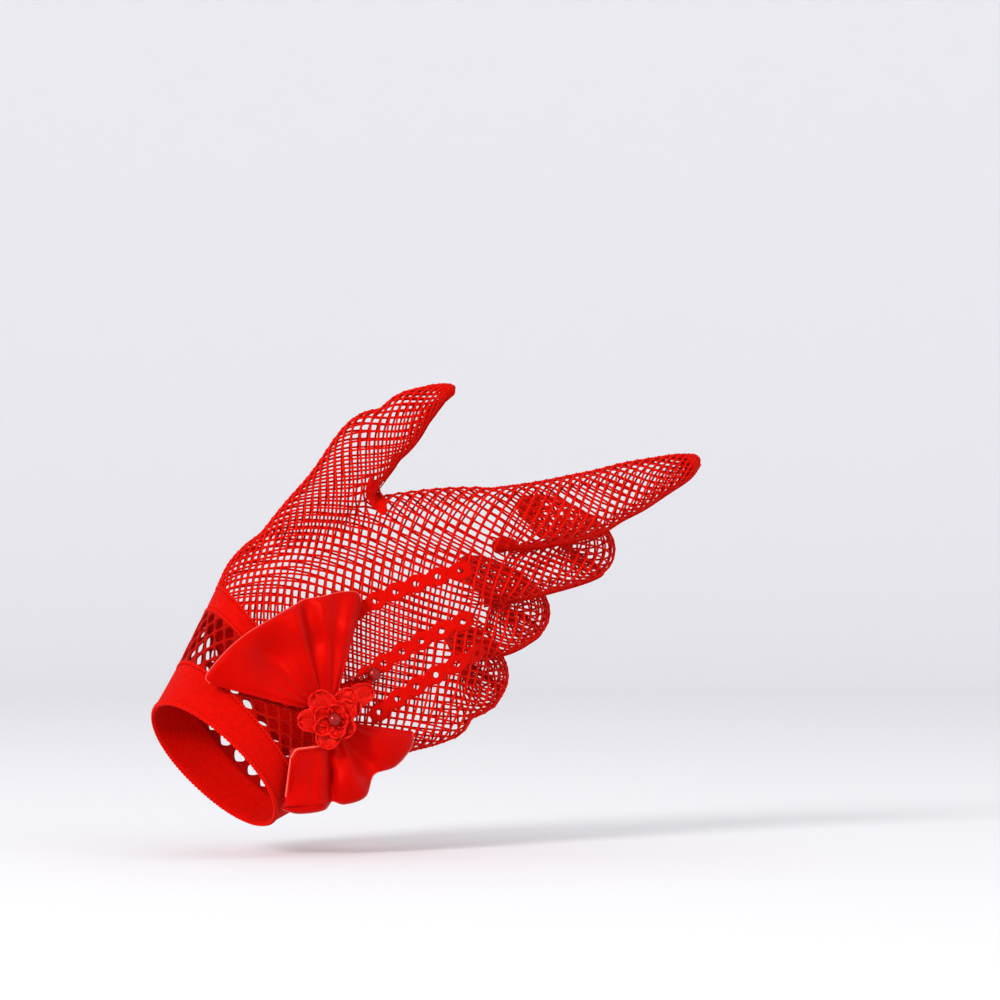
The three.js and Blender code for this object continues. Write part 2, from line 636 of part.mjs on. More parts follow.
// A petal: a leaf-shaped sheet, cupped along its length and lifted towards its end
function petalSheet({ x, z, turn, long, wide, cup }, depth, drop) {
  const angle = (turn * Math.PI) / 180;
  const grid = [0.08, 0.35, 0.65, 0.9, 1].map((along) => {
    const half = wide * Math.sin(Math.PI * along ** 0.9 * 0.78 + 0.28);
    return [-1, 0, 1].map((over) => {
      const [u, v] = [long * along, Math.max(half, 0.6) * over];
      const lift = cup * (along * along * 0.6 + over * over * 0.5) - drop * along;
      return new THREE.Vector3(
        x + u * Math.cos(angle) - v * Math.sin(angle),
        depth - lift,
        z + u * Math.sin(angle) + v * Math.cos(angle),
      );
    });
  });
  return sheetSolid(grid, petalWall);
}

const flowerDepth = knotFront - seamGap - flower.thick / 2;
const disc = new THREE.SphereGeometry(flower.disc, beadSides, 4)
  .scale(1, flower.thick / 2 / flower.disc, 1)
  .translate(flower.x, flowerDepth, flower.z);
let flowerSolid = solidOf(disc);
for (const petal of petals) {
  flowerSolid = flowerSolid.add(solidOf(petalSheet({ ...flower, ...petal }, flowerDepth, 0)));
}
addPiece('flower', geometryFrom(flowerSolid), red.lace, 0.7);
const leafDepth = skinDepth(leaf.x, leaf.z) - seamGap - petalWall;
addPiece('lace_leaf', petalSheet(leaf, leafDepth, leaf.drop), red.lace, 0.7);

// A bead rests on the flower's disc, or on the net where the skin slopes away under it
function beadDepth({ x, z, radius, on }) {
  if (on === 'flower') {
    return flowerDepth - flower.thick / 2 - seamGap - radius;
  }
  const around = [[0, 0], [radius, 0], [-radius, 0], [0, radius], [0, -radius]];
  return Math.min(...around.map(([dx, dz]) => skinDepth(x + dx, z + dz))) - seamGap - radius * 0.85;
}
for (const [name, bead] of Object.entries(beads)) {
  const ball = new THREE.SphereGeometry(bead.radius, beadSides, beadSides / 2)
    .translate(bead.x, beadDepth(bead), bead.z);
  ball.deleteAttribute('normal');
  ball.deleteAttribute('uv');
  addPiece(name, mergeVertices(ball, 1e-4), red.bead, 0.1);
}

export default glove;
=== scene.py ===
import math

import bpy
import bmesh
import numpy as np
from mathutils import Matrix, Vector
from mathutils.bvhtree import BVHTree


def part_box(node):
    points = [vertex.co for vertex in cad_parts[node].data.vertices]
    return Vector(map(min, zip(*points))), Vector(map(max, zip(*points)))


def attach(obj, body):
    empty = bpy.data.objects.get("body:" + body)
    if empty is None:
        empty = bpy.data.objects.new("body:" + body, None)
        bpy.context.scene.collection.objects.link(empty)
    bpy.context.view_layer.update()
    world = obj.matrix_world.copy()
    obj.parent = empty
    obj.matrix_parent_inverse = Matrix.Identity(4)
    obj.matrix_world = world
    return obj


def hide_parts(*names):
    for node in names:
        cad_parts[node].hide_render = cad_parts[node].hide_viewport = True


# The visual model of a right-hand fishnet glove. Lengths in the tables are millimetres
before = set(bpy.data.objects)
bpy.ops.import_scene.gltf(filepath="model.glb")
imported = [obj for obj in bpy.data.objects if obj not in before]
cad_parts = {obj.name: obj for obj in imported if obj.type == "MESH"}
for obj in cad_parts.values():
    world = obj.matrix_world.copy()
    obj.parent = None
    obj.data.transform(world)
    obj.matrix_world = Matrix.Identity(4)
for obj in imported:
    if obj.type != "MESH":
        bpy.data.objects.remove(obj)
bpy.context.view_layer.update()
mm = 0.001
seed = 7
rng = np.random.default_rng(seed)

# Wrist and palm sections: thumbX, thumbZ, littleX, littleZ, back, turn, thick, square
palmRows = np.array([
    [-21.5, 19.1, 21.5, -19.1, 0, 8, 20.5, 2.1],
    [-13.5, 34.3, 30.2, -14.9, 8, 8, 20.5, 2.1],
    [-4, 54, 42.1, -8.7, 15, 7, 20, 2.2],
    [-0.3, 61.8, 49.2, -5.3, 17.5, 6, 19.5, 2.2],
    [5.2, 72.4, 59.8, 0.2, 20, 5, 18.5, 2.3],
    [16.8, 82, 68.9, 3.6, 22, 4, 17, 2.3],
    [37, 88.6, 75, 5, 23.5, 3, 15.5, 2.4],
    [58, 94.7, 80.5, 6.6, 25, 1, 14, 2.4],
    [79.5, 97.6, 87, 9.5, 26.5, -3, 12.6, 2.4],
    [95, 98, 89.5, 14.5, 29, -8, 10, 2.4],
])
hemEdge, hemTop, netTop, bandTop, palmEnd = 0, 1, 2, 3, 9

# Fingers: middle x, y, z and half width, from the root inside the palm to the tip. root is where the
# finger leaves the palm, the net rows at its two webs are lowRow (little-finger side) and highRow, and
# tipRow is the row at the tip.
fingers = {
    "thumb_net": {
        "side": (-0.7, 0, 0.7), "depth": 0.88, "root": 3.35, "lowRow": 32, "highRow": 32, "tipRow": 56,
        "rows": np.array([
            [14, 22, 52, 9], [20, 21.5, 67.5, 11.2], [30.5, 20.5, 82.3, 11.3], [42.2, 20, 95.8, 11.3],
            [54.4, 21, 112.4, 11.6], [62.6, 22.5, 118, 9.3], [68.3, 24, 124.2, 8.1], [74.2, 26, 128.4, 5.8],
            [79, 28, 131.4, 3.8], [83.8, 29, 133.2, 2.2],
        ]),
    },
    "index_finger_net": {
        "side": (-0.1, 0, 1), "depth": 0.88, "root": 0.85, "lowRow": 46, "highRow": 50, "tipRow": 88,
        "rows": np.array([
            [80, 24, 85.5, 10], [103, 26, 87, 11.3], [117, 31, 88.7, 11.8], [131.5, 37, 91.8, 11.8],
            [141, 40, 95.6, 10.3], [149.5, 43, 98.8, 9.3], [159, 46, 102.6, 7.2], [167.5, 49, 105.9, 5.2],
            [172.5, 51, 108.6, 2.6],
        ]),
    },
    "middle_finger_net": {
        "side": (-0.25, 0.05, 0.96), "depth": 0.9, "root": 0.8, "lowRow": 38, "highRow": 46, "tipRow": 86,
        "rows": np.array([
            [78, 23, 65, 9.8], [103, 30.5, 66.3, 9.5], [117, 40, 69.3, 9.4], [130.5, 48, 73, 9.1],
            [135.3, 57, 76.2, 9], [133, 66, 80, 8.4], [126, 74, 85.5, 7.9], [116.5, 79.5, 90.5, 6.6],
            [109.5, 82, 93.5, 3],
        ]),
    },
    "ring_finger_net": {
        "side": (-0.4, 0.05, 0.9), "depth": 0.9, "root": 0.9, "lowRow": 30, "highRow": 38, "tipRow": 70,
        "rows": np.array([
            [74, 23, 44.5, 9.6], [97.5, 31.5, 46.5, 9.5], [106.5, 42, 49.8, 9.2], [111.2, 52, 53.6, 9],
            [109, 61, 57.8, 8.2], [102, 68.5, 63, 7.7], [94, 73.5, 68, 6.4], [88, 75.5, 71.8, 3],
        ]),
    },
    "little_finger_net": {
        "side": (-0.4, 0.05, 0.9), "depth": 0.9, "root": 1.4, "lowRow": 24, "highRow": 30, "tipRow": 54,
        "rows": np.array([
            [68, 24.5, 23.5, 9], [88, 30.5, 24.5, 9.8], [95, 41, 28.2, 8.8], [96.5, 50, 32.5, 8.2],
            [93.5, 57.5, 37, 7.4], [88, 63.5, 42, 6.6], [83, 67, 46.2, 3],
        ]),
    },
}
for finger in fingers.values():
    finger["last"] = len(finger["rows"]) - 1


# Values of a table at places between its rows, along a smooth curve
def between(rows, place):
    last = len(rows) - 1
    place = np.asarray(place, float)
    i = np.clip(np.floor(place).astype(int), 0, last - 1)
    t = (place - i)[..., None]
    padded = np.vstack([2 * rows[0] - rows[1], rows, 2 * rows[-1] - rows[-2]])
    p0, p1, p2, p3 = (padded[i + k] for k in range(4))
    bend = (2 * p0 - 5 * p1 + 4 * p2 - p3) * t ** 2 + (3 * p1 - p0 - 3 * p2 + p3) * t ** 3
    return 0.5 * (2 * p1 + (p2 - p0) * t + bend)


def unit(v):
    return v / np.maximum(np.linalg.norm(v, axis=-1, keepdims=True), 1e-9)


# Distance run along a line at each of its points
def runOf(line):
    return np.concatenate([[0], np.cumsum(np.linalg.norm(np.diff(line, axis=0), axis=1))])


# Angles evenly round a circle
def turnsOf(sides):
    return np.arange(sides) / sides * 2 * np.pi


def palmMiddle(place):
    row = between(palmRows, place)
    return np.stack([(row[..., 0] + row[..., 2]) / 2, row[..., 4], (row[..., 1] + row[..., 3]) / 2], -1)


# Points of the wrist or palm at a share of the way round a section
def palmPoint(place, share, inset=0.0, shift=0.0):
    place, share = np.broadcast_arrays(np.asarray(place, float), np.asarray(share, float))
    row = between(palmRows, place)
    across = np.stack([row[..., 2] - row[..., 0], -row[..., 5], row[..., 3] - row[..., 1]], -1)
    width = np.linalg.norm(across, axis=-1) / 2
    across = unit(across)
    ahead = palmMiddle(np.minimum(place + 0.25, palmEnd)) - palmMiddle(np.maximum(place - 0.25, 0))
    ahead = unit(ahead - across * (ahead * across).sum(-1, keepdims=True))
    front = np.cross(across, ahead)
    power = 2 / row[..., 7]
    c, s = np.cos(share * 2 * np.pi), np.sin(share * 2 * np.pi)
    x = (np.sign(c) * np.abs(c) ** power * (width - inset))[..., None]
    y = (np.sign(s) * np.abs(s) ** power * (row[..., 6] - inset))[..., None]
    return palmMiddle(place) + ahead * shift + across * x + front * y


# Points of a finger. Angle 0 is its side towards the thumb, 270 the back of the hand
def fingerPoint(finger, place, angle, inset=0.0, shift=0.0):
    place, angle = np.broadcast_arrays(np.asarray(place, float), np.radians(np.asarray(angle, float)))
    rows = finger["rows"]
    row = between(rows, place)
    ahead = between(rows, np.minimum(place + 0.2, finger["last"])) - between(rows, np.maximum(place - 0.2, 0))
    ahead = unit(ahead[..., :3])
    side = np.broadcast_to(np.array(finger["side"], float), ahead.shape)
    side = unit(side - ahead * (side * ahead).sum(-1, keepdims=True))
    front = np.cross(side, ahead)
    half = row[..., 3]
    x = (np.cos(angle) * np.maximum(half - inset, 0.3))[..., None]
    y = (np.sin(angle) * np.maximum(half * finger["depth"] - inset, 0.3))[..., None]
    return row[..., :3] + ahead * shift + side * x + front * y


# Mesh helpers
def placed(name, data):
    made = bpy.data.objects.new(name, data)
    bpy.context.scene.collection.objects.link(made)
    return made


def meshPiece(name, points, faces, edges=(), smooth=True):
    mesh = bpy.data.meshes.new(name)
    mesh.from_pydata((np.asarray(points) * mm).tolist(), list(edges), list(faces))
    mesh.validate()
    if smooth:
        mesh.shade_smooth()
    return placed(name, mesh)


# Faces between rings of points. closed goes all the way round a ring, wrapped joins the last to the first
def bandFaces(rings, sides, start=0, closed=True, wrapped=False):
    faces = []
    for r in range(rings if wrapped else rings - 1):
        for i in range(sides if closed else sides - 1):
            j = (i + 1) % sides
            a, b = start + r * sides, start + (r + 1) % rings * sides
            faces.append((a + i, a + j, b + j, b + i))
    return faces


# Faces from a ring of points to one point in its middle
def fanFaces(start, sides, tip):
    return [(start + i, start + (i + 1) % sides, tip) for i in range(sides)]


# A UV map from one place in mm for each vertex
def unwrap(piece, places):
    uv = piece.data.uv_layers.new(name="UVMap")
    for loop in piece.data.loops:
        uv.data[loop.index].uv = places[loop.vertex_index]


# Turns a piece with modifiers into a plain mesh without them
def baked(piece):
    graph = bpy.context.evaluated_depsgraph_get()
    mesh = bpy.data.meshes.new_from_object(piece.evaluated_get(graph))
    piece.modifiers.clear()
    old = piece.data
    piece.data = mesh
    bpy.data.meshes.remove(old)
    mesh.name = piece.name


def addModifier(piece, kind, **settings):
    modifier = piece.modifiers.new(kind.title(), kind)
    for key, value in settings.items():
        setattr(modifier, key, value)


# Joins points closer than a distance in mm, if there is one, and turns the faces outwards
def clean(piece, distance=0):
    work = bmesh.new()
    work.from_mesh(piece.data)
    if distance:
        bmesh.ops.remove_doubles(work, verts=work.verts, dist=distance * mm)
    bmesh.ops.recalc_face_normals(work, faces=work.faces)
    work.to_mesh(piece.data)
    work.free()


# Gives a sheet its thickness in mm, and rounds it where rounded is set
def thicken(piece, thick, offset=0, rounded=False):
    addModifier(piece, "SOLIDIFY", thickness=thick * mm, offset=offset)
    if rounded:
        addModifier(piece, "SUBSURF", levels=1, render_levels=1)
    baked(piece)
    piece.data.shade_smooth()


# The skin: palm and fingers grown together, which every strand is laid on. It isn't shown. Each closing
# ring of the palm is (mm in, mm ahead), and those of a finger are shares of its half width at the tip
skinSize = {"palmSides": 96, "palmSteps": 90, "fingerSides": 48, "fingerSteps": 60,
            "voxel": 1.1, "smooth": 8,
            "palmClose": ((0.4, 0.8), (1.2, 2), (2.6, 3.4), (4.5, 4.5), (7, 5.2)),
            "fingerClose": ((0.15, 0.25), (0.4, 0.45), (0.75, 0.6))}


def buildSkin():
    points, faces = [], []

    def addLoft(rings):
        start = len(points)
        sides = len(rings[0])
        for ring in rings:
            points.extend(ring.tolist())
        faces.extend(bandFaces(len(rings), sides, start))
        faces.append(tuple(start + i for i in reversed(range(sides))))
        faces.append(tuple(start + (len(rings) - 1) * sides + i for i in range(sides)))

    share = np.arange(skinSize["palmSides"]) / skinSize["palmSides"]
    rings = [palmPoint(p, share) for p in np.linspace(0, palmEnd, skinSize["palmSteps"])]
    rings += [palmPoint(palmEnd, share, inset, ahead) for inset, ahead in skinSize["palmClose"]]
    addLoft(rings)
    angle = np.arange(skinSize["fingerSides"]) / skinSize["fingerSides"] * 360
    for finger in fingers.values():
        last, tip = finger["last"], finger["rows"][-1][3]
        rings = [fingerPoint(finger, p, angle) for p in np.linspace(0, last, skinSize["fingerSteps"])]
        rings += [fingerPoint(finger, last, angle, tip * inset, tip * ahead)
                  for inset, ahead in skinSize["fingerClose"]]
        addLoft(rings)
    skin = meshPiece("skin", points, faces)
    addModifier(skin, "REMESH", mode="VOXEL", voxel_size=skinSize["voxel"] * mm)
    addModifier(skin, "SMOOTH", factor=0.5, iterations=skinSize["smooth"])
    baked(skin)
    mesh = skin.data
    co = np.zeros(len(mesh.vertices) * 3)
    mesh.vertices.foreach_get("co", co)
    co = co.reshape(-1, 3) / mm
    tree = BVHTree.FromPolygons([Vector(p) for p in co], [tuple(p.vertices) for p in mesh.polygons])
    bpy.data.objects.remove(skin)
    return tree


skinTree = buildSkin()


# The nearest points of the skin, moved out by off, and the skin's normals there
def onSkin(points, off=0.0):
    found, normals = np.zeros_like(points), np.zeros_like(points)
    for i, p in enumerate(points):
        hit, normal, _, _ = skinTree.find_nearest(Vector(p))
        found[i], normals[i] = hit, normal
    return found + normals * off, normals


# How far back the skin lies behind a point of the front view
def skinFront(x, z):
    hit = skinTree.ray_cast(Vector((x, -200, z)), Vector((0, 1, 0)))[0]
    return hit.y if hit else 1e3


print("skin ready")


# Materials. noise is (low shade, high shade, scale) and may end with an attribute of the mesh that tints it
def material(name, color, roughness, noise=None, build=None, **sockets):
    made = bpy.data.materials.new(name)
    made.use_nodes = True
    tree = made.node_tree
    shader = tree.nodes["Principled BSDF"]
    shader.inputs["Base Color"].default_value = (*color, 1)
    shader.inputs["Roughness"].default_value = roughness
    for key, value in sockets.items():
        shader.inputs[key.replace("_", " ")].default_value = value
    if noise:
        place = colorNoise(tree, shader, *noise)
    if build:
        build(tree, shader, place)
    return made


def node(tree, kind, **settings):
    made = tree.nodes.new(kind)
    for key, value in settings.items():
        if key in made.inputs:
            made.inputs[key].default_value = value
        else:
            setattr(made, key, value)
    return made


# Each link is (node, output, node, input)
def link(tree, *links):
    for start, out, end, into in links:
        tree.links.new(start.outputs[out], end.inputs[into])


# Colour that varies between two shades with a fine noise, and with an attribute of the mesh if one is named
def colorNoise(tree, shader, low, high, scale, attribute=None):
    place = node(tree, "ShaderNodeTexCoord")
    noise = node(tree, "ShaderNodeTexNoise", Scale=scale, Detail=3.0)
    mix = node(tree, "ShaderNodeMix", data_type="RGBA")
    mix.inputs[6].default_value = (*low, 1)
    mix.inputs[7].default_value = (*high, 1)
    link(tree, (place, "Object", noise, "Vector"), (mix, 2, shader, "Base Color"))
    if attribute:
        tint = node(tree, "ShaderNodeAttribute", attribute_name=attribute)
        add = node(tree, "ShaderNodeMath", operation="MULTIPLY_ADD", use_clamp=True)
        add.inputs[1].default_value = 0.45
        link(tree, (noise, "Fac", add, 0), (tint, "Fac", add, 2), (add, 0, mix, 0))
    else:
        link(tree, (noise, "Fac", mix, 0))
    return place


def bumpFrom(tree, shader, height, out, strength, distance):
    bump = node(tree, "ShaderNodeBump", Strength=strength, Distance=distance)
    link(tree, (height, out, bump, "Height"), (bump, "Normal", shader, "Normal"))


def yarnLook(tree, shader, place):
    fibre = node(tree, "ShaderNodeTexNoise", Scale=4200.0, Detail=2.0)
    link(tree, (place, "Object", fibre, "Vector"))
    bumpFrom(tree, shader, fibre, "Fac", 0.5, 0.0001)


# Fine knitted ribs and rows from the piece's own UV, in millimetres
def knitLook(tree, shader, place):
    uv = node(tree, "ShaderNodeUVMap", uv_map="UVMap")
    wales = node(tree, "ShaderNodeTexWave", wave_type="BANDS", bands_direction="X", Scale=0.42)
    rows = node(tree, "ShaderNodeTexWave", wave_type="BANDS", bands_direction="Y", Scale=0.5, Distortion=0.6)
    add = node(tree, "ShaderNodeMath", operation="MULTIPLY_ADD")
    add.inputs[1].default_value = 0.5
    link(tree, (uv, "UV", wales, "Vector"), (uv, "UV", rows, "Vector"), (rows, "Fac", add, 0),
         (wales, "Fac", add, 2))
    bumpFrom(tree, shader, add, 0, 0.6, 0.00025)


# Fine warp threads along the ribbon, and a weave too fine to see alone
def satinLook(tree, shader, place):
    uv = node(tree, "ShaderNodeUVMap", uv_map="UVMap")
    warp = node(tree, "ShaderNodeTexWave", wave_type="BANDS", bands_direction="X", Scale=1.6, Distortion=1.5,
                Detail=3.0)
    link(tree, (uv, "UV", warp, "Vector"))
    bumpFrom(tree, shader, warp, "Fac", 0.10, 0.0001)


def laceLook(tree, shader, place):
    weave = node(tree, "ShaderNodeTexVoronoi", Scale=1500.0)
    link(tree, (place, "Object", weave, "Vector"))
    bumpFrom(tree, shader, weave, "Distance", 0.5, 0.0002)


redTint = (1, 0.05, 0.03, 1)
satinTint = (1, 0.025, 0.012, 1)
laceTint = (1, 0.14, 0.1, 1)
glassTint = (1, 0.28, 0.24, 1)
beadTint = (1, 0.13, 0.11, 1)
materials = {
    # The net's tint attribute mixes in painted shade: its second family of strands is darker than the first
    "net": material("net yarn", (0.66, 0.004, 0.001), 0.7,
                    ((0.24, 0.0012, 0.0006), (0.74, 0.005, 0.001), 900, "tint"), yarnLook,
                    Specular_IOR_Level=0.3, Specular_Tint=redTint, Sheen_Weight=0.08, Sheen_Roughness=0.4,
                    Sheen_Tint=redTint),
    "knit": material("knit", (0.78, 0.006, 0.001), 0.85,
                     ((0.50, 0.002, 0.0008), (0.70, 0.0035, 0.001), 500), knitLook,
                     Specular_IOR_Level=0.25, Specular_Tint=redTint, Sheen_Weight=0.1, Sheen_Roughness=0.5,
                     Sheen_Tint=redTint),
    "satin": material("satin", (0.70, 0.003, 0.0008), 0.42,
                      ((0.34, 0.001, 0.0005), (0.62, 0.0016, 0.0007), 75), satinLook,
                      Specular_IOR_Level=0.6, Specular_Tint=satinTint, Sheen_Weight=0.04, Sheen_Roughness=0.3,
                      Sheen_Tint=satinTint, Anisotropic=0.5),
    # Painted highlight: a lighter, pinker red for the fold at a loop's outer end and the panel's top roll,
    # where the satin catches the light
    "satin painted highlight": material("satin painted highlight", (0.9, 0.05, 0.03), 0.3,
                           ((0.84, 0.035, 0.022), (0.98, 0.14, 0.10), 300),
                           Specular_IOR_Level=0.9, Specular_Tint=glassTint, Sheen_Weight=0.15,
                           Sheen_Roughness=0.3, Sheen_Tint=glassTint),
    "lace": material("lace", (0.68, 0.006, 0.002), 0.32,
                     ((0.52, 0.002, 0.001), (0.84, 0.005, 0.002), 700), laceLook,
                     Specular_IOR_Level=0.8, Specular_Tint=laceTint, Sheen_Weight=0.06, Sheen_Roughness=0.35,
                     Sheen_Tint=satinTint),
    "bead": material("bead", (0.25, 0.001, 0.001), 0.21,
                     ((0.10, 0.0006, 0.0006), (0.26, 0.0012, 0.0012), 260),
                     Specular_IOR_Level=1.0, IOR=1.85, Specular_Tint=beadTint),
}


# Gives a piece the look that slot names, hangs it on the root and hides the CAD nodes that it stands for
def give(piece, slot, *nodes):
    piece.data.materials.clear()
    piece.data.materials.append(materials[slot])
    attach(piece, "root")
    if nodes:
        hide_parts(*nodes)
    return piece


# Strands: a geometry node tree that turns edges into round yarn, with a knot on each crossing
strands = {"Thickness": 1.0, "Sides": 6, "Knot Size": 1.0}


def strandTree():
    tree = bpy.data.node_groups.new("strands", "GeometryNodeTree")
    for name, kind in (("Geometry", "Geometry"), ("Thickness", "Float"), ("Sides", "Int"),
                       ("Knot Size", "Float"), ("Material", "Material")):
        socket = tree.interface.new_socket(name, in_out="INPUT", socket_type="NodeSocket" + kind)
        if name in strands:
            socket.default_value = strands[name]
    tree.interface.new_socket("Geometry", in_out="OUTPUT", socket_type="NodeSocketGeometry")
    given, out = tree.nodes.new("NodeGroupInput"), tree.nodes.new("NodeGroupOutput")
    radius = node(tree, "GeometryNodeInputNamedAttribute", Name="radius")
    knot = node(tree, "GeometryNodeInputNamedAttribute", Name="knot")
    thick = node(tree, "ShaderNodeMath", operation="MULTIPLY")
    knotSize = node(tree, "ShaderNodeMath", operation="MULTIPLY")
    curve = node(tree, "GeometryNodeMeshToCurve")
    circle = node(tree, "GeometryNodeCurvePrimitiveCircle", Radius=1.0)
    tube = node(tree, "GeometryNodeCurveToMesh")
    tube.inputs["Fill Caps"].default_value = True
    ball = node(tree, "GeometryNodeMeshIcoSphere", Radius=1.0, Subdivisions=1)
    points = node(tree, "GeometryNodeInstanceOnPoints")
    isKnot = node(tree, "FunctionNodeCompare", data_type="FLOAT", operation="GREATER_THAN")
    join = node(tree, "GeometryNodeJoinGeometry")
    real = node(tree, "GeometryNodeRealizeInstances")
    smooth = node(tree, "GeometryNodeSetShadeSmooth")
    paint = node(tree, "GeometryNodeSetMaterial")
    link(tree, (given, "Geometry", curve, "Mesh"), (given, "Sides", circle, "Resolution"),
         (radius, "Attribute", thick, 0), (given, "Thickness", thick, 1), (curve, "Curve", tube, "Curve"),
         (circle, "Curve", tube, "Profile Curve"), (thick, 0, tube, "Scale"))
    link(tree, (knot, "Attribute", isKnot, 0), (knot, "Attribute", knotSize, 0),
         (given, "Knot Size", knotSize, 1), (given, "Geometry", points, "Points"),
         (isKnot, 0, points, "Selection"), (ball, "Mesh", points, "Instance"), (knotSize, 0, points, "Scale"))
    link(tree, (points, "Instances", join, "Geometry"), (tube, "Mesh", join, "Geometry"),
         (join, "Geometry", real, "Geometry"), (real, "Geometry", smooth, "Geometry"),
         (smooth, "Geometry", paint, "Geometry"), (given, "Material", paint, "Material"),
         (paint, "Geometry", out, "Geometry"))
    return tree


strandNodes = strandTree()


# Yarn along lines. Each line is (points, radii, knots, tint), with knot radii of 0 where there is none
def strandPiece(name, lines, slot, *nodes, sides=strands["Sides"]):
    points, edges, radii, knots, tints = [], [], [], [], []
    for at, radius, knot, tint in lines:
        start = len(points)
        points.extend(np.asarray(at).tolist())
        edges.extend((start + i, start + i + 1) for i in range(len(at) - 1))
        radii.extend(np.broadcast_to(radius, len(at)) * mm)
        knots.extend(np.broadcast_to(knot, len(at)) * mm)
        tints.extend(np.broadcast_to(tint, len(at)))
    piece = meshPiece(name, points, [], edges, smooth=False)
    for key, values in (("radius", radii), ("knot", knots), ("tint", tints)):
        attribute = piece.data.attributes.new(key, "FLOAT", "POINT")
        attribute.data.foreach_set("value", np.array(values, np.float32))
    modifier = piece.modifiers.new("Strands", "NODES")
    modifier.node_group = strandNodes
    settings = {**strands, "Sides": sides, "Material": materials[slot]}
    for socket in strandNodes.interface.items_tree:
        if socket.in_out == "INPUT" and socket.name in settings:
            modifier[socket.identifier] = settings[socket.name]
    baked(piece)
    return give(piece, slot, *nodes)


# The net's columns: 54 round the wrist. The thumb takes 14 of them and each finger 5 on the back and
# 5 on the palm side, and at each web 2 more begin, which both neighbours share. The two columns on the
# border of the thumb run at the shares in border, from a part of the palm's length.
# tint is the shade of the first family of strands, and tintShaded that of the second, painted darker as
# painted shade where those strands face away from the light; tintRange is a random spread
net = {"columns": 54, "half": 0.41, "halfOther": 0.38, "knot": 0.56, "cross": 0.1, "swell": 1.15,
       "inset": 0.3, "relax": 60, "pull": 0.5, "tint": 0.6, "tintShaded": 0.35, "tintRange": 0.08,
       "border": (0.49, 0.51), "borderFrom": 0.62}
order = ["little_finger_net", "ring_finger_net", "middle_finger_net", "index_finger_net"]
slotsRound = {"little_finger_net": 12, "ring_finger_net": 14, "middle_finger_net": 14,
              "index_finger_net": 14, "thumb_net": 16}
thumbFirst, thumbLast = 20, 33
columnsEach = 5


# The angle of slot i of a finger's ring, counted from its little-finger side over the back
def fingerAngle(name, i):
    offset = 0.5 if name == "little_finger_net" else -0.5
    return 180 + (i + offset) * 360 / slotsRound[name]


# The net row that meets the root of a finger at an angle
def rowAtRoot(name, angle):
    finger = fingers[name]
    up = (1 + math.cos(math.radians(angle))) / 2
    return finger["lowRow"] + (finger["highRow"] - finger["lowRow"]) * up


for finger in fingers.values():
    finger["places"] = np.linspace(finger["root"], finger["last"], 200)
    finger["run"] = runOf(between(finger["rows"], finger["places"])[:, :3])

sharesAll = np.linspace(0, 1, 721)
palmEndPoints = palmPoint(palmEnd, sharesAll)


# One entry for each column: its finger, its angle there, and its shares of the band and of the palm's end
def makeSlots():
    slots = {}
    for u in range(net["columns"]):
        share = (u + 0.5) / net["columns"]
        if thumbFirst <= u <= thumbLast:
            name = "thumb_net"
            angle = (u - (thumbFirst + thumbLast) / 2) * 360 / slotsRound[name]
        else:
            onBack = u < thumbFirst
            k = u // columnsEach if onBack else (net["columns"] - 1 - u) // columnsEach
            name = order[k]
            n = slotsRound[name]
            first = 0 if name == "little_finger_net" else 2
            if onBack:
                i = first + u - columnsEach * k
            else:
                i = n - 1 - (net["columns"] - 1 - u - columnsEach * k)
            angle = fingerAngle(name, i)
        slot = {"finger": name, "angle": angle, "share": share, "from": 0, "row": rowAtRoot(name, angle)}
        if name != "thumb_net":
            root = fingerPoint(fingers[name], fingers[name]["root"], angle)
            near = np.linalg.norm(palmEndPoints - root, axis=1)
            slot["endShare"] = sharesAll[int(near.argmin())]
        slots[u] = slot
    for name in order + ["thumb_net"]:
        n = slotsRound[name]
        row = fingers[name]["lowRow"]
        if name == "thumb_net":
            webs = {"low": [(180 - 180 / n) % 360, 180 + 180 / n]}
        elif name == "little_finger_net":
            webs = {"high": [fingerAngle(name, 5), fingerAngle(name, 6)]}
        else:
            webs = {"low": [fingerAngle(name, 1), fingerAngle(name, 0)],
                    "high": [fingerAngle(name, 7), fingerAngle(name, 8)]}
        for side, angles in webs.items():
            for q, angle in enumerate(angles):
                start = row if side == "low" else fingers[name]["highRow"]
                slot = {"finger": name, "angle": angle, "share": None, "from": start, "row": start}
                if name == "index_finger_net" and side == "high":
                    slot["from"] = fingers["thumb_net"]["lowRow"]
                    slot["share"] = slot["endShare"] = net["border"][q]
                    slot["border"] = True
                slots[(name, side, q)] = slot
    return slots


slots = makeSlots()
placesAll = np.linspace(bandTop, palmEnd, 240)


# A point part of the way along the palm, on a column that runs between two shares
def palmAlong(share, endShare, part):
    shares = share + (endShare - share) * (placesAll - bandTop) / (palmEnd - bandTop)
    line = palmPoint(placesAll, shares)
    run = runOf(line)
    at = np.interp(part * run[-1], run, np.arange(len(run)))
    i = min(int(at), len(line) - 2)
    return line[i] + (line[i + 1] - line[i]) * (at - i)


def slotPoint(slot, row):
    finger = fingers[slot["finger"]]
    if row >= slot["row"]:
        part = (row - slot["row"]) / (finger["tipRow"] - slot["row"])
        place = np.interp(part * finger["run"][-1], finger["run"], finger["places"])
        return fingerPoint(finger, place, slot["angle"])
    if slot["finger"] == "thumb_net":
        start = palmPoint(bandTop, slot["share"])
        end = fingerPoint(finger, finger["root"], slot["angle"])
        return start + (end - start) * row / slot["row"]
    if slot.get("border"):
        part = (row - slot["from"]) / (slot["row"] - slot["from"])
        part = net["borderFrom"] + (1 - net["borderFrom"]) * part
        return palmAlong(slot["share"], slot["share"], part)
    return palmAlong(slot["share"], slot["endShare"], row / slot["row"])


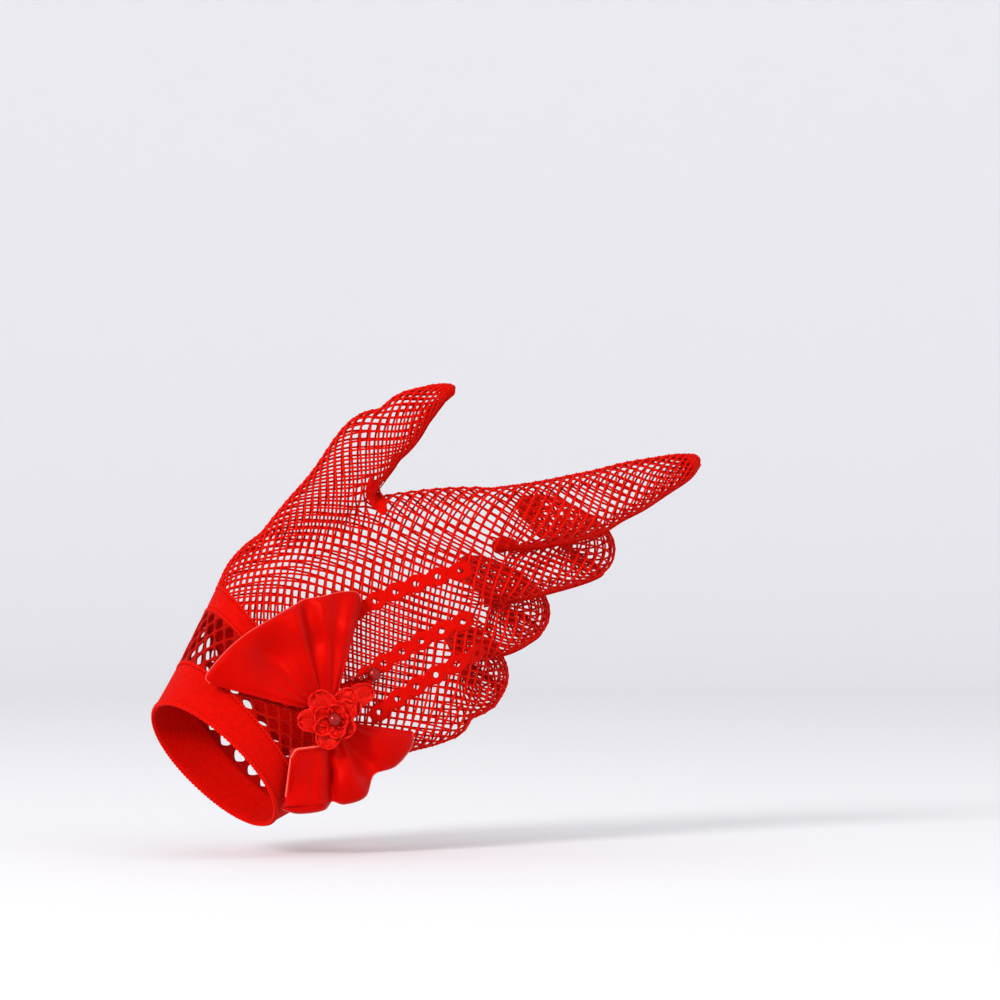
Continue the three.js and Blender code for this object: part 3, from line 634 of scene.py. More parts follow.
# The net as a graph: rings of nodes joined row by row, split where a finger leaves the palm
def growNet():
    places, edges, parts, webs = [], [], [], []

    def addNode(point, part):
        places.append(point)
        parts.append(part)
        return len(places) - 1

    def partOf(slot, row):
        return slot["finger"] if row > slot["row"] + 1 else "hand_net"

    # From the ring of row (even) to that of row + 2
    def advance(ring, row):
        count = len(ring)
        halfway = []
        for k in range(count):
            a, b = slots[ring[k][0]], slots[ring[(k + 1) % count][0]]
            point = (slotPoint(a, row + 1) + slotPoint(b, row + 1)) / 2
            halfway.append(addNode(point, partOf(a, row + 1)))
            edges.append((ring[k][1], halfway[k], 0))
            edges.append((ring[(k + 1) % count][1], halfway[k], 1))
        following = []
        for k in range(count):
            slot = slots[ring[k][0]]
            made = addNode(slotPoint(slot, row + 2), partOf(slot, row + 2))
            edges.append((halfway[k - 1], made, 0))
            edges.append((halfway[k], made, 1))
            following.append((ring[k][0], made))
        return following

    # The two nodes that both rings share at a web, back of the hand first
    def webNodes(nameA, sideA, nameB, sideB, row):
        made = []
        for q in range(2):
            a, b = slots[(nameA, sideA, q)], slots[(nameB, sideB, q)]
            made.append(addNode((slotPoint(a, row) + slotPoint(b, row)) / 2, "hand_net"))
        webs.append(made)
        return made

    rings = {"palm": [(u, addNode(slotPoint(slots[u], 0), "hand_net")) for u in range(net["columns"])]}
    lowest = rings["palm"]
    columns = {key: [at] for key, at in lowest}
    row = 0
    names = list(order)
    while rings:
        for key in list(rings):
            rings[key] = advance(rings[key], row)
            for slot, at in rings[key]:
                columns.setdefault(slot, []).append(at)
        row += 2
        if "palm" in rings and row == fingers["thumb_net"]["lowRow"]:
            ring = rings["palm"]
            keys = [key for key, _ in ring]
            i, j = keys.index(thumbFirst), keys.index(thumbLast)
            web = webNodes("thumb_net", "low", "index_finger_net", "high", row)
            rings["thumb_net"] = (ring[i:j + 1]
                                  + [(("thumb_net", "low", 0), web[1]), (("thumb_net", "low", 1), web[0])])
            rings["palm"] = (ring[:i] + [(("index_finger_net", "high", 0), web[0]),
                                         (("index_finger_net", "high", 1), web[1])] + ring[j + 1:])
        if "palm" in rings and len(names) > 1 and row == fingers[names[0]]["highRow"]:
            ring = rings["palm"]
            name, following = names[0], names[1]
            mine = [k for k, (key, _) in enumerate(ring) if slots[key]["finger"] == name]
            back = [ring[k] for k in mine if math.sin(math.radians(slots[ring[k][0]]["angle"])) < 0]
            under = [ring[k] for k in mine if ring[k] not in back]
            rest = [entry for entry in ring if entry not in back and entry not in under]
            web = webNodes(name, "high", following, "low", row)
            rings[name] = (back + [((name, "high", 0), web[0]), ((name, "high", 1), web[1])] + under)
            rings["palm"] = ([((following, "low", 1), web[1]), ((following, "low", 0), web[0])] + rest)
            names.pop(0)
            if len(names) == 1:
                rings[names[0]] = rings.pop("palm")
        for key in list(rings):
            if key != "palm" and row >= fingers[key]["tipRow"]:
                rings.pop(key)
    return np.array(places), edges, parts, [n for _, n in lowest], columns, webs


netPoints, netEdges, netParts, netEdge, netColumns, netWebs = growNet()
print("net nodes", len(netPoints), "edges", len(netEdges))


# Evens the net out while it stays on the skin
def relaxNet(points, edges, held):
    a = np.array([e[0] for e in edges])
    b = np.array([e[1] for e in edges])
    count = np.bincount(a, minlength=len(points)) + np.bincount(b, minlength=len(points))
    free = count > 2
    free[held] = False
    points, _ = onSkin(points)
    for _ in range(net["relax"]):
        total = np.zeros_like(points)
        np.add.at(total, a, points[b])
        np.add.at(total, b, points[a])
        goal = total / count[:, None]
        points[free] += (goal - points)[free] * net["pull"]
        points, _ = onSkin(points)
    return points


netPoints = relaxNet(netPoints, netEdges, netEdge)


# Strands of one part: lists of node numbers that follow one family of edges
def netChains(part):
    found = []
    for family in (0, 1):
        links = {}
        for a, b, kind in netEdges:
            inFinger = netParts[a] if netParts[a] == netParts[b] else "hand_net"
            if kind == family and inFinger == part:
                links.setdefault(a, []).append(b)
                links.setdefault(b, []).append(a)
        ends = [n for n in links if len(links[n]) != 2]
        done = set()
        for start in ends + list(links):
            for step in links[start]:
                if (start, step) in done:
                    continue
                chain = [start, step]
                done.update([(start, step), (step, start)])
                while len(links[chain[-1]]) == 2:
                    following = [n for n in links[chain[-1]] if n != chain[-2]]
                    if not following or (chain[-1], following[0]) in done:
                        break
                    done.update([(chain[-1], following[0]), (following[0], chain[-1])])
                    chain.append(following[0])
                found.append((family, chain))
    return found


# One strand through its nodes, with a point halfway between each two, over or under the other family
def strandLine(family, chain):
    at = netPoints[chain]
    line = np.zeros((2 * len(chain) - 1, 3))
    line[0::2], line[1::2] = at, (at[1:] + at[:-1]) / 2
    on, normals = onSkin(line)
    # The second family takes the darker tint, a painted shade
    up, half, knot, tint = ((net["cross"], net["half"], net["knot"], net["tint"]) if family == 0 else
                            (-net["cross"], net["halfOther"], 0, net["tintShaded"]))
    off = np.full(len(line), -net["inset"])
    off[0::2] += up
    radius = np.full(len(line), half)
    radius[0::2] *= net["swell"]
    knots = np.zeros(len(line))
    knots[0::2] = knot
    return on + normals * off[:, None], radius, knots, tint + rng.uniform(-net["tintRange"], net["tintRange"])


for part in ["hand_net", "thumb_net", *order]:
    lines = [strandLine(family, chain) for family, chain in netChains(part)]
    nodes = ["hand_back_net", "hand_palm_net"] if part == "hand_net" else [part]
    strandPiece(part + "_yarn", lines, "net", *nodes)
print("net ready")


# Small closely knitted gussets where two fingers part: discs on the skin round the net's web nodes
gusset = {"rings": 8, "sides": 40, "reach": 5.2, "thumbReach": 9.6, "thumbPlace": (56.6, 22, 95.2),
          "lift": -0.3, "thick": 0.8, "waves": 10, "wave": 0.4}


def gussets():
    points, faces = [], []
    places = [(netPoints[pair].mean(0), gusset["reach"]) for pair in netWebs]
    places[1] = (np.array(gusset["thumbPlace"]), gusset["thumbReach"])
    sides = gusset["sides"]
    turn = turnsOf(sides)
    for place, full in places:
        middle, normal = onSkin(place[None])
        side = unit(np.cross(normal, [0, 1, 0]))
        front = np.cross(normal, side)
        start = len(points)
        points.append(middle[0] + normal[0] * gusset["lift"])
        for r in range(1, gusset["rings"] + 1):
            reach = full * r / gusset["rings"]
            if r == gusset["rings"]:
                reach = reach + gusset["wave"] * np.cos(turn * gusset["waves"])
            ring = middle + side * (np.cos(turn) * reach)[:, None] + front * (np.sin(turn) * reach)[:, None]
            points.extend(onSkin(ring, gusset["lift"])[0])
        faces += fanFaces(start + 1, sides, start)
        faces += bandFaces(gusset["rings"], sides, start + 1)
    piece = meshPiece("gussets", points, faces)
    unwrap(piece, [point[1:] for point in points])
    clean(piece)
    thicken(piece, gusset["thick"], rounded=True)
    return give(piece, "knit")


gussetPiece = gussets()

# Knitted walls of the hem and the band: rounded over their height and rolled in at both edges
knit = {"sides": 240, "wall": 1.5, "swell": 0.15, "edge": 0.525, "edgeThin": 0.1}


def knitWall(name, nodeName, fromPlace, toPlace, steps):
    sides, wall = knit["sides"], knit["wall"]
    share = np.arange(sides) / sides
    outer, inner = [], []
    for k in range(steps + 1):
        part = k / steps
        place = fromPlace + (toPlace - fromPlace) * part
        edge = max(0, 1 - min(part, 1 - part) * steps / 2)
        swell = knit["swell"] * math.sqrt(max(0, 1 - (2 * part - 1) ** 8)) + knit["edge"] * edge ** 2
        outer.append(palmPoint(place, share, swell))
        inner.append(palmPoint(place, share, wall - knit["edgeThin"] * edge))
    rings = outer + inner[::-1]
    piece = meshPiece(name, np.concatenate(rings), bandFaces(len(rings), sides, wrapped=True))
    girth = np.linalg.norm(np.roll(outer[0], -1, 0) - outer[0], axis=1).sum()
    height = np.linalg.norm(outer[-1] - outer[0], axis=1).mean()
    parts = [k / steps for k in (*range(steps + 1), *range(steps, -1, -1))]
    unwrap(piece, [(i / sides * girth, part * height) for part in parts for i in range(sides)])
    clean(piece)
    return give(piece, "knit", nodeName)


hemPiece = knitWall("hem", "wrist_hem", hemEdge, hemTop, 16)
bandPiece = knitWall("band", "cuff_band", netTop, bandTop, 10)

# Coarse cuff net: rounded gaps between flat knitted strands
cuff = {"columns": 30, "rows": 5, "across": 0.66, "along": 0.68, "round": 1.45, "points": 16, "wall": 1.0,
        "inset": 0.55}


def cuffNet():
    points, faces, known = [], [], {}
    top = cuff["rows"] + 1

    def at(column, row):
        place = hemTop + (netTop - hemTop) * row / top
        return palmPoint(place, column / cuff["columns"], cuff["inset"])

    def shared(column, row):
        key = (round((column % cuff["columns"]) * 8) % (cuff["columns"] * 8), round(row * 8))
        if key not in known:
            known[key] = len(points)
            points.append(at(column, row))
        return known[key]

    n = cuff["points"]
    p = 2 / cuff["round"]
    for row in range(cuff["rows"]):
        for column in range(cuff["columns"]):
            middleColumn = column + (row % 2) * 0.5
            middleRow = row + 1
            rim, hole = [], []
            for k in range(n):
                turn = 2 * math.pi * k / n
                c, s = math.cos(turn), math.sin(turn)
                reach = 1 / (abs(c) + abs(s))
                rim.append(shared(middleColumn + 0.5 * c * reach, middleRow + s * reach))
                x = math.copysign(abs(c) ** p, c) * 0.5 * cuff["across"]
                y = math.copysign(abs(s) ** p, s) * cuff["along"]
                hole.append(len(points))
                points.append(at(middleColumn + x, middleRow + y))
            faces += [(rim[k], rim[(k + 1) % n], hole[(k + 1) % n], hole[k]) for k in range(n)]
    quarter = n // 4
    for column in range(cuff["columns"]):  # half diamonds along the hem and the band
        for edge, inner in ((0, 1), (top, top - 1)):
            begin = column + (0.5 * ((cuff["rows"] - 1) % 2) if edge else 0)
            left, right = ([shared(begin + end + way * 0.5 * k / quarter, edge + (inner - edge) * k / quarter)
                            for k in range(quarter + 1)] for end, way in ((0, 1), (1, -1)))
            faces += [(left[k], right[k], right[k + 1], left[k + 1]) for k in range(quarter - 1)]
            faces.append((left[quarter - 1], right[quarter - 1], left[quarter]))
    piece = meshPiece("cuff_mesh", points, faces)
    clean(piece)
    thicken(piece, cuff["wall"], rounded=True)
    return give(piece, "net", "cuff_net")


cuffPiece = cuffNet()
print("cuff net", len(cuffPiece.data.polygons))

# Overlocked edges: fine looped yarn round the knitted walls. Each edge is its place, how far along and
# in from there it runs, which way its loops point, and their number
edgeYarn = {"perLoop": 6, "half": 0.42, "deep": 0.55, "tint": 0.55,
            "edges": [(0.02, -0.1, 0.45, -1, 132), (0.02, 0.5, 0.1, -1, 132), (0.995, 0.0, 0.35, 1, 132),
                      (2.01, 0.0, 0.35, -1, 152), (2.99, 0.0, 0.35, 1, 152)]}


def edgeLine(place, shift, inset, direction, count):
    t = np.linspace(0, 1, count * edgeYarn["perLoop"] + 1)
    wave = np.abs(np.sin(t * count * np.pi))
    along = (shift + direction * edgeYarn["deep"] * wave)[:, None]
    ahead = unit(palmPoint(place + 0.02, t, inset) - palmPoint(place - 0.02, t, inset))
    return palmPoint(place, t, inset) + ahead * along, edgeYarn["half"], 0.0, edgeYarn["tint"]


edgePiece = strandPiece("knit_edges", [edgeLine(*edge) for edge in edgeYarn["edges"]], "net")

# Eyelet strips on the back of the hand: closed knitting along one column of the net, with an eyelet in
# every second diamond. from and to are the ends of a strip in the front view (x)
eyelets = {
    "strips": [{"column": 13, "from": 46, "to": 95}, {"column": 9, "from": 46, "to": 93},
               {"column": 6, "from": 54, "to": 95}],
    "halfWidth": 2.9, "scallop": 0.75, "radius": 0.95, "sides": 24, "rings": (0, 0.3, 0.65, 1),
    "off": 0.05, "thick": 0.8, "weld": 0.05,
}

# A flat cell round each eyelet, (s, w) along and across the strip, with s counted in diamonds
def eyeletCell(first, pitch):
    turn = 2 * np.pi * (np.arange(eyelets["sides"]) + 0.5) / eyelets["sides"]
    c, s = np.cos(turn), np.sin(turn)
    wide = eyelets["halfWidth"]
    reach = np.minimum(pitch / np.abs(c), wide / np.abs(s))
    x, w = c * reach, s * reach
    wave = 1 - 2 * np.abs(x) / pitch
    w = w + np.sign(w) * eyelets["scallop"] * wave * np.abs(w / wide) ** 3
    x0, w0 = c * eyelets["radius"], s * eyelets["radius"]
    return [np.stack([first + 1 + (x0 + (x - x0) * part) / pitch, w0 + (w - w0) * part], -1)
            for part in eyelets["rings"]]


def eyeletStrips():
    points, faces, uvs = [], [], []
    rings, sides = len(eyelets["rings"]), eyelets["sides"]
    for strip in eyelets["strips"]:
        at = netPoints[netColumns[strip["column"]]]
        first = int(np.argmax(at[:, 0] > strip["from"]))
        last = int(np.argmax(at[:, 0] > strip["to"])) or len(at) - 1
        at = at[first:last + 1]
        pitch = np.linalg.norm(np.diff(at, axis=0), axis=1).mean()
        for cell in range(0, len(at) - 2, 2):
            for ring in eyeletCell(cell - 0.5, pitch):
                line = between(at, ring[:, 0])
                ahead = unit(between(at, ring[:, 0] + 0.3) - between(at, ring[:, 0] - 0.3))
                across = unit(np.cross(onSkin(line)[1], ahead))
                points.extend(onSkin(line + across * ring[:, 1:], -eyelets["off"])[0].tolist())
                uvs.extend(np.column_stack([ring[:, 0] * pitch, ring[:, 1]]).tolist())
            faces.extend(bandFaces(rings, sides, len(points) - rings * sides))
    piece = meshPiece("eyelet_strips", points, faces)
    unwrap(piece, uvs)
    clean(piece, eyelets["weld"])
    thicken(piece, eyelets["thick"], rounded=True)
    return give(piece, "knit")


eyeletPiece = eyeletStrips()
print("eyelets", len(eyeletPiece.data.polygons))

# Finger seams and closed tips: a dense knitted strip with zigzag stitches, and a gathered cap
seams = {"angle": 180, "half": 1.0, "from": 0.25, "rows": 7, "steps": 90, "off": 0.1, "lift": 0.25,
         "thick": 0.5, "stitch": 0.9, "yarn": 0.24, "stitchFrom": 3, "stitchWide": 1.25, "stitchOff": 0.5,
         "stitchTint": 0.7, "uv": (0.4, 0.9)}
caps = {"from": 0.75, "rings": 12, "sides": 56, "off": 0.15, "thick": 0.5, "uv": (0.7, 0.9), "oval": 0.95,
        "close": ((0.15, 0.25), (0.4, 0.45), (0.7, 0.58), (0.9, 0.62))}


# A line off the skin that runs beside a finger's seam, sideways counted in the strip's half widths
def seamLine(finger, places, sideways, off):
    half = between(finger["rows"], places)[:, 3]
    angle = seams["angle"] + np.degrees(sideways * seams["half"] / np.maximum(half, 2))
    return onSkin(fingerPoint(finger, places, angle), off)[0]


def seamStrip(name):
    finger, rows, steps = fingers[name], seams["rows"], seams["steps"]
    places = np.linspace(finger["root"] + seams["from"], finger["last"], steps)
    lines = [seamLine(finger, places, sideways, seams["lift"] * (1 - sideways ** 2) + seams["off"])
             for sideways in np.linspace(-1, 1, rows)]
    strip = meshPiece(name + "_strip", np.concatenate(lines), bandFaces(rows, steps, closed=False))
    wide, long = seams["uv"]
    unwrap(strip, [(row * wide, step * long) for row in range(rows) for step in range(steps)])
    clean(strip)
    thicken(strip, seams["thick"])
    return strip


# The gathered tip: a shell that closes in on one point
def fingerCap(name):
    finger, sides = fingers[name], caps["sides"]
    last, tip = finger["last"], finger["rows"][-1][3]
    angle = np.arange(sides) / sides * 360
    places = np.linspace(last - caps["from"], last, caps["rings"])
    rings = [fingerPoint(finger, place, angle) for place in places]
    rings += [fingerPoint(finger, last, angle, tip * inset, tip * ahead) for inset, ahead in caps["close"]]
    rings = [onSkin(ring, caps["off"])[0] for ring in rings]
    count = len(rings) * sides
    faces = bandFaces(len(rings), sides) + fanFaces(count - sides, sides, count)
    cap = meshPiece(name + "_cap", np.vstack(rings + [rings[-1].mean(0)]), faces)
    wide, long = caps["uv"]
    uvs = [(i * wide, ring * long) for ring in range(len(rings)) for i in range(sides)]
    unwrap(cap, uvs + uvs[-1:])
    clean(cap)
    thicken(cap, caps["thick"], offset=-1)
    return cap


# One mesh from several pieces
def joined(name, pieces):
    work = bmesh.new()
    for piece in pieces:
        work.from_mesh(piece.data)
        bpy.data.objects.remove(piece)
    mesh = bpy.data.meshes.new(name)
    work.to_mesh(mesh)
    work.free()
    mesh.shade_smooth()
    return placed(name, mesh)


# Overlock stitches that cross a finger's seam
def zigzag(finger):
    run = finger["run"][-1]
    count = int(run / seams["stitch"]) * 2
    places = np.interp(np.linspace(seams["stitchFrom"], run, count), finger["run"], finger["places"])
    sideways = np.where(np.arange(count) % 2, seams["stitchWide"], -seams["stitchWide"])
    return seamLine(finger, places, sideways, seams["stitchOff"]), seams["yarn"], 0.0, seams["stitchTint"]


trimPieces = {name: give(joined(name.replace("_net", "_trim"), [seamStrip(name), fingerCap(name)]), "knit")
              for name in fingers}
stitchPiece = strandPiece("seam_stitches", [zigzag(finger) for finger in fingers.values()], "net", sides=5)
print("trim ready")

# The bow: rows of each loop as in the CAD source (waist, toX, toZ, roll, fold)
bow = {"x": 40, "z": 17, "axisX": -0.4, "axisZ": 0.92, "leanX": 0.26, "leanZ": 0.12, "lift": 1.4,
       "long": 11, "across": 12, "deep": 6.4, "waist": 0.85, "waistHalf": 1.1, "ribbon": 0.38, "apart": 0.2,
       "perRow": 12, "turns": 56, "soften": 6, "crease": 0.8, "pleat": 0.42, "pleatEvery": 5.1,
       "pleatSlant": 2.2, "rim": 0.42, "taper": 0.7}
# Soft dents of the front layer: middle x and z, how wide, how deep
dimples = {
    "bow_upper_loop": [(21, 38, 8, 4), (31, 46, 5, -1.2), (38, 44, 4, 1.4), (45, 48, 5, -1.2)],
    "bow_lower_loop": [(41, -3, 3.2, 1.8), (47, -3, 4.5, -1.2), (54, 2, 3.5, 1.6), (60, 6, 5, -0.8)],
}
loops = {
    "bow_upper_loop": (1, np.array([
        [-6.2, -0.5, 28.5, 0.8, 0], [-5.2, -1.5, 31.5, 1.4, 0.5], [-4, 5.5, 40, 2.4, 1],
        [-2.8, 12, 45.5, 2.8, -1], [-1.6, 20, 50.5, 3, 0], [-0.4, 28.5, 55.5, 2.8, 2],
        [0.8, 32, 57.5, 1.8, -2.5], [2, 38, 58.5, 2.6, 1.5], [3.4, 44, 60, 2.2, -1],
        [4.8, 50, 60, 2.2, 1.5], [6, 51.5, 56.5, 1.2, 0.5]])),
    "bow_lower_loop": (-1, np.array([
        [-6.4, 24.5, -15, 1.2, 0.5], [-5, 30, -16.5, 2.2, 2], [-3.6, 38.5, -15.5, 2.2, 1],
        [-2.2, 41.5, -12.5, 1.2, -2], [-0.8, 46, -13.5, 2, 1.5], [0.6, 53, -11, 2, 1],
        [2, 56, -3.5, 1.2, -2], [3.4, 63.5, -0.5, 2.2, 1.5], [4.8, 69, 6, 2.2, 1.5],
        [6.2, 69.5, 11, 1, 0]])),
}
bowAxis = unit(np.array([bow["axisX"], 0, bow["axisZ"]]))
bowAcross = np.array([bowAxis[2], 0, -bowAxis[0]])
knotBack = skinFront(bow["x"], bow["z"]) - bow["lift"]
knotFront = knotBack - bow["deep"]


def bowDepth(x, z):
    plane = knotBack + bow["leanX"] * (x - bow["x"]) + bow["leanZ"] * (z - bow["z"])
    return min(plane, skinFront(x, z) - bow["lift"])


# Depth of the cloth's back over a grid of x and z
def clothBack(x, z):
    return np.array([[bowDepth(*place) for place in zip(*line)] for line in zip(x, z)])


def softened(base):
    soft = base.copy()
    soft[1:-1] = (base[:-2] + base[2:] + 2 * base[1:-1]) / 4
    soft[:, 1:-1] = (soft[:, :-2] + soft[:, 2:] + 2 * soft[:, 1:-1]) / 4
    return soft


def bowLoop(name):
    end, rows = loops[name]
    reach = end * (bow["long"] / 2 + bow["apart"])
    v = np.linspace(0, len(rows) - 1, (len(rows) - 1) * bow["perRow"] + 1)[:, None]
    waist, toX, toZ, roll, fold = between(rows, v[:, 0]).T[..., None]
    count, sides = len(v), bow["turns"]
    turn = (np.arange(sides) + 0.5) / sides * 2 * np.pi
    out = (1 - np.cos(turn)) / 2
    wave, front = np.sin(turn), turn < np.pi
    startX = bow["x"] + bowAxis[0] * reach + bowAcross[0] * waist
    startZ = bow["z"] + bowAxis[2] * reach + bowAcross[2] * waist
    x, z = startX + (toX - startX) * out, startZ + (toZ - startZ) * out
    base = clothBack(x, z)
    for _ in range(bow["soften"]):
        base = np.minimum(base, softened(base))
    half = bow["waistHalf"] + (roll - bow["waistHalf"]) * out
    spread = np.sign(wave) * np.abs(wave) ** 0.5
    crease = fold * out * wave * bow["crease"] * front
    pleat = bow["pleat"] * np.sin(v * bow["pleatEvery"] + bow["pleatSlant"] * out)
    y = base - half * (1 + spread) - crease - pleat * (1 - out) ** 0.8 * np.abs(wave)
    for dentX, dentZ, wide, deep in dimples[name]:
        y += front * deep * np.exp(-((x - dentX) ** 2 + (z - dentZ) ** 2) / wide ** 2)
    grid = np.stack([x, y, z], -1)
    satinName = name.replace("bow_", "satin_")
    piece = meshPiece(satinName, grid.reshape(-1, 3), bandFaces(count, sides, closed=False))
    across, along = runOf(grid[:, sides // 2]), runOf(grid[count // 2])
    unwrap(piece, [(u, w) for u in across for w in along])
    clean(piece)
    thicken(piece, bow["ribbon"])
    give(piece, "satin", name)
    # The fold along the loop's outer end is a thin tube in the lighter satin, a painted highlight; the side
    # edges stay in plain satin
    bend = (grid[:, sides // 2 - 1] + grid[:, sides // 2]) / 2
    edges = [(grid[row], bow["rim"], 0.0, 0.3) for row in (0, -1)]
    rimPieces[name] = [strandPiece(satinName + "_rim", [(bend, bow["rim"], 0.0, 0.6)], "satin painted highlight"),
                       strandPiece(satinName + "_edges", edges, "satin")]
    loopSizes[name] = (across[-1], along[-1])
    return piece


rimPieces, loopSizes = {}, {}
loopPieces = {name: bowLoop(name) for name in loops}

# The folded panel at the left of the lower loop, which hangs from a rolled and stitched top edge. Corners
# are x and z in the front view, and crease is (share of the width, half width, depth). The rolled edge
# runs between the shares in top, round the corner and between those in side
panel = {
    "topLeft": (27.5, 6), "topRight": (40.5, 7.4), "lowLeft": (24.8, -14.2), "lowRight": (41, -13.4),
    "rows": 34, "sides": 26, "back": 1.2, "puff": 4.5, "flatter": 0.12, "soften": 12,
    "crease": (0.62, 0.07, 0.5), "roll": 0.4, "rolls": 3, "rollOff": 0.25, "inset": 0.03, "gap": 0.055,
    "top": (0.96, 0.16), "topSteps": 24, "topInset": 0.7, "side": (0.14, 0.8), "sideSteps": 22,
    "cornerOver": (0.1, 0.02), "cornerDown": (0.01, 0.02, 0.035, 0.055, 0.08, 0.11),
    "shorter": 0.1, "thinner": 0.22, "uv": 0.6,
}


def panelGrid():
    topLeft, topRight, lowLeft, lowRight = (np.array(panel[key], float) for key in
                                            ("topLeft", "topRight", "lowLeft", "lowRight"))
    rows, sides = np.linspace(0, 1, panel["rows"]), np.linspace(0, 1, panel["sides"])
    down, over = np.meshgrid(rows, sides, indexing="ij")
    left = topLeft + (lowLeft - topLeft) * down[..., None]
    right = topRight + (lowRight - topRight) * down[..., None]
    x, z = np.moveaxis(left + (right - left) * over[..., None], -1, 0)
    base = clothBack(x, z)
    for _ in range(panel["soften"]):
        base = softened(base)
    swell = (1 - np.abs(2 * over - 1) ** 3.5) ** 0.55 * (1 - panel["flatter"] * down ** 2)
    place, wide, deep = panel["crease"]
    crease = deep * np.exp(-((over - place) / wide) ** 2) * np.minimum(1, down * 2)
    return np.stack([x, base - panel["back"] - panel["puff"] * swell + crease, z], -1)


# Points of the panel at shares of its height and width
def panelPoints(grid, down, over):
    count, sides = grid.shape[:2]
    rows = between(grid.reshape(count, -1), np.asarray(down) * (count - 1)).reshape(-1, sides, 3)
    return np.array([between(row, o * (sides - 1)) for row, o in zip(rows, over)])


# One ridge of the rolled edge: along the top, round the corner and down the left side
def panelRidge(grid, r):
    inset = panel["gap"] * r + panel["inset"]
    corner = np.array(panel["cornerDown"])
    (topFrom, topTo), (sideFrom, sideTo) = panel["top"], panel["side"]
    over = np.concatenate([np.linspace(topFrom, topTo + inset, panel["topSteps"]),
                           np.linspace(*panel["cornerOver"], len(corner)) + inset,
                           np.full(panel["sideSteps"], inset)])
    down = np.concatenate([np.full(panel["topSteps"], inset * panel["topInset"]), corner + inset,
                           np.linspace(sideFrom, sideTo - panel["shorter"] * r, panel["sideSteps"]) + inset])
    line = panelPoints(grid, down, over) - np.array([0, panel["rollOff"], 0])
    return line, panel["roll"] * (1 - panel["thinner"] * r), 0.0, 0.5


def bowPanel():
    grid = panelGrid()
    rows, sides = panel["rows"], panel["sides"]
    piece = meshPiece("satin_panel", grid.reshape(-1, 3), bandFaces(rows, sides, closed=False))
    unwrap(piece, [(side * panel["uv"], row * panel["uv"]) for row in range(rows) for side in range(sides)])
    clean(piece)
    thicken(piece, bow["ribbon"])
    give(piece, "satin")
    ridges = [panelRidge(grid, r) for r in range(panel["rolls"])]
    # The top ridge of the rolled edge is in the lighter satin, a painted highlight; the lower ridges are
    # plain satin
    return [piece, strandPiece("satin_panel_roll", ridges[:1], "satin painted highlight"),
            strandPiece("satin_panel_ridges", ridges[1:], "satin")]


rimPieces["bow_lower_loop"] += bowPanel()

# A pleated satin band wrapped round the waist, its pleats running round it
wrap = {"rings": 40, "sides": 72, "pleats": 13, "pleat": 0.035, "shrink": 0.02, "close": 0.12, "uv": 0.4}


def bowKnot():
    rings, sides = wrap["rings"], wrap["sides"]
    turn = turnsOf(sides)
    middle = np.array([bow["x"], (knotBack + knotFront) / 2, bow["z"]])
    points = []
    for along in np.linspace(-1, 1, rings):
        full = bow["waist"] + (1 - bow["waist"]) * math.sqrt(max(0, 1 - along ** 2))
        full -= wrap["close"] * abs(along) ** 12
        size = full * (1 + wrap["pleat"] * math.cos(along * wrap["pleats"]) - wrap["shrink"]) / 2
        points.append(middle + bowAxis * along * bow["long"] / 2
                      + bowAcross * (np.cos(turn) * bow["across"] * size)[:, None]
                      + np.array([0, 1, 0]) * (np.sin(turn) * bow["deep"] * size)[:, None])
    count = rings * sides
    faces = bandFaces(rings, sides) + fanFaces(0, sides, count) + fanFaces(count - sides, sides, count + 1)
    ends = [points[0].mean(0), points[-1].mean(0)]
    piece = meshPiece("satin_knot", np.vstack(points + ends), faces)
    uvs = [(ring * bow["long"] / rings, i * wrap["uv"]) for ring in range(rings) for i in range(sides)]
    unwrap(piece, uvs + uvs[-1:] * 2)
    clean(piece)
    return give(piece, "satin", "bow_knot")


knotPiece = bowKnot()
print("bow ready")

# The lace flower and leaf: sheer petals with corded edges and veins. Each petal is (turn in degrees,
# length, half width), and the side petals add how far forward they lie and their cup
flower = {"x": 42.5, "z": 16, "thick": 1.8, "cup": 2.2, "innerTurn": 34, "innerLong": 0.6, "innerWide": 0.72,
          "innerUp": 0.7, "innerCup": 2.6, "lift": 0.3}
petals = [(128, 11.5, 4.6), (182, 12.5, 4.2), (250, 10.5, 4.4), (322, 8, 3.8), (40, 8.5, 4)]
sidePetals = [(58, 12, 4.2, -0.5, 1), (34, 10.5, 3.4, -0.8, 0.6)]
leaf = {"x": 46.5, "z": 22.5, "turn": 20, "long": 10, "wide": 3.8, "cup": 1, "drop": 3.2, "lift": 1.3}
# The outline of a petal: how it widens from its root, rounds off at its tip and waves at its rim
outline = {"root": 0.28, "swing": 0.78, "bend": 0.9, "tipFrom": 0.72, "tipLong": 0.29, "blunt": 0.12,
           "rimPower": 4, "waves": 7.5, "wavesAlong": 14, "wavesSlant": 2, "cupAlong": 0.6, "cupOver": 0.5}
# Each rim cord is (share of the half width, steps along, share over the tip, steps there, half, tint).
# Each vein is (share of the half width, share of the length)
lace = {"sheet": 0.22, "ruffle": 0.6, "rows": 26, "across": 19, "from": 0.06, "off": 0.16, "fill": 0.85,
        "cordSteps": 34, "rims": ((1, 34, 0.7, 7, 0.36, 0.8), (0.78, 30, 0.6, 5, 0.17, 0.7)),
        "veins": ((0, 0.9), (-0.3, 0.84), (0.3, 0.84), (-0.55, 0.76), (0.55, 0.76)), "vein": 0.17,
        "veinFrom": 0.08, "veinSteps": 16, "veinOff": 1.6, "veinTint": 0.75, "bar": 0.12, "bars": 8,
        "barPlaces": (0.2, 0.9), "barReach": 0.95, "barSteps": 13, "barZigzag": 0.03, "barTint": 0.6}
flowerDepth = knotFront - flower["lift"] - flower["thick"] / 2
leafDepth = skinFront(leaf["x"], leaf["z"]) - leaf["lift"]


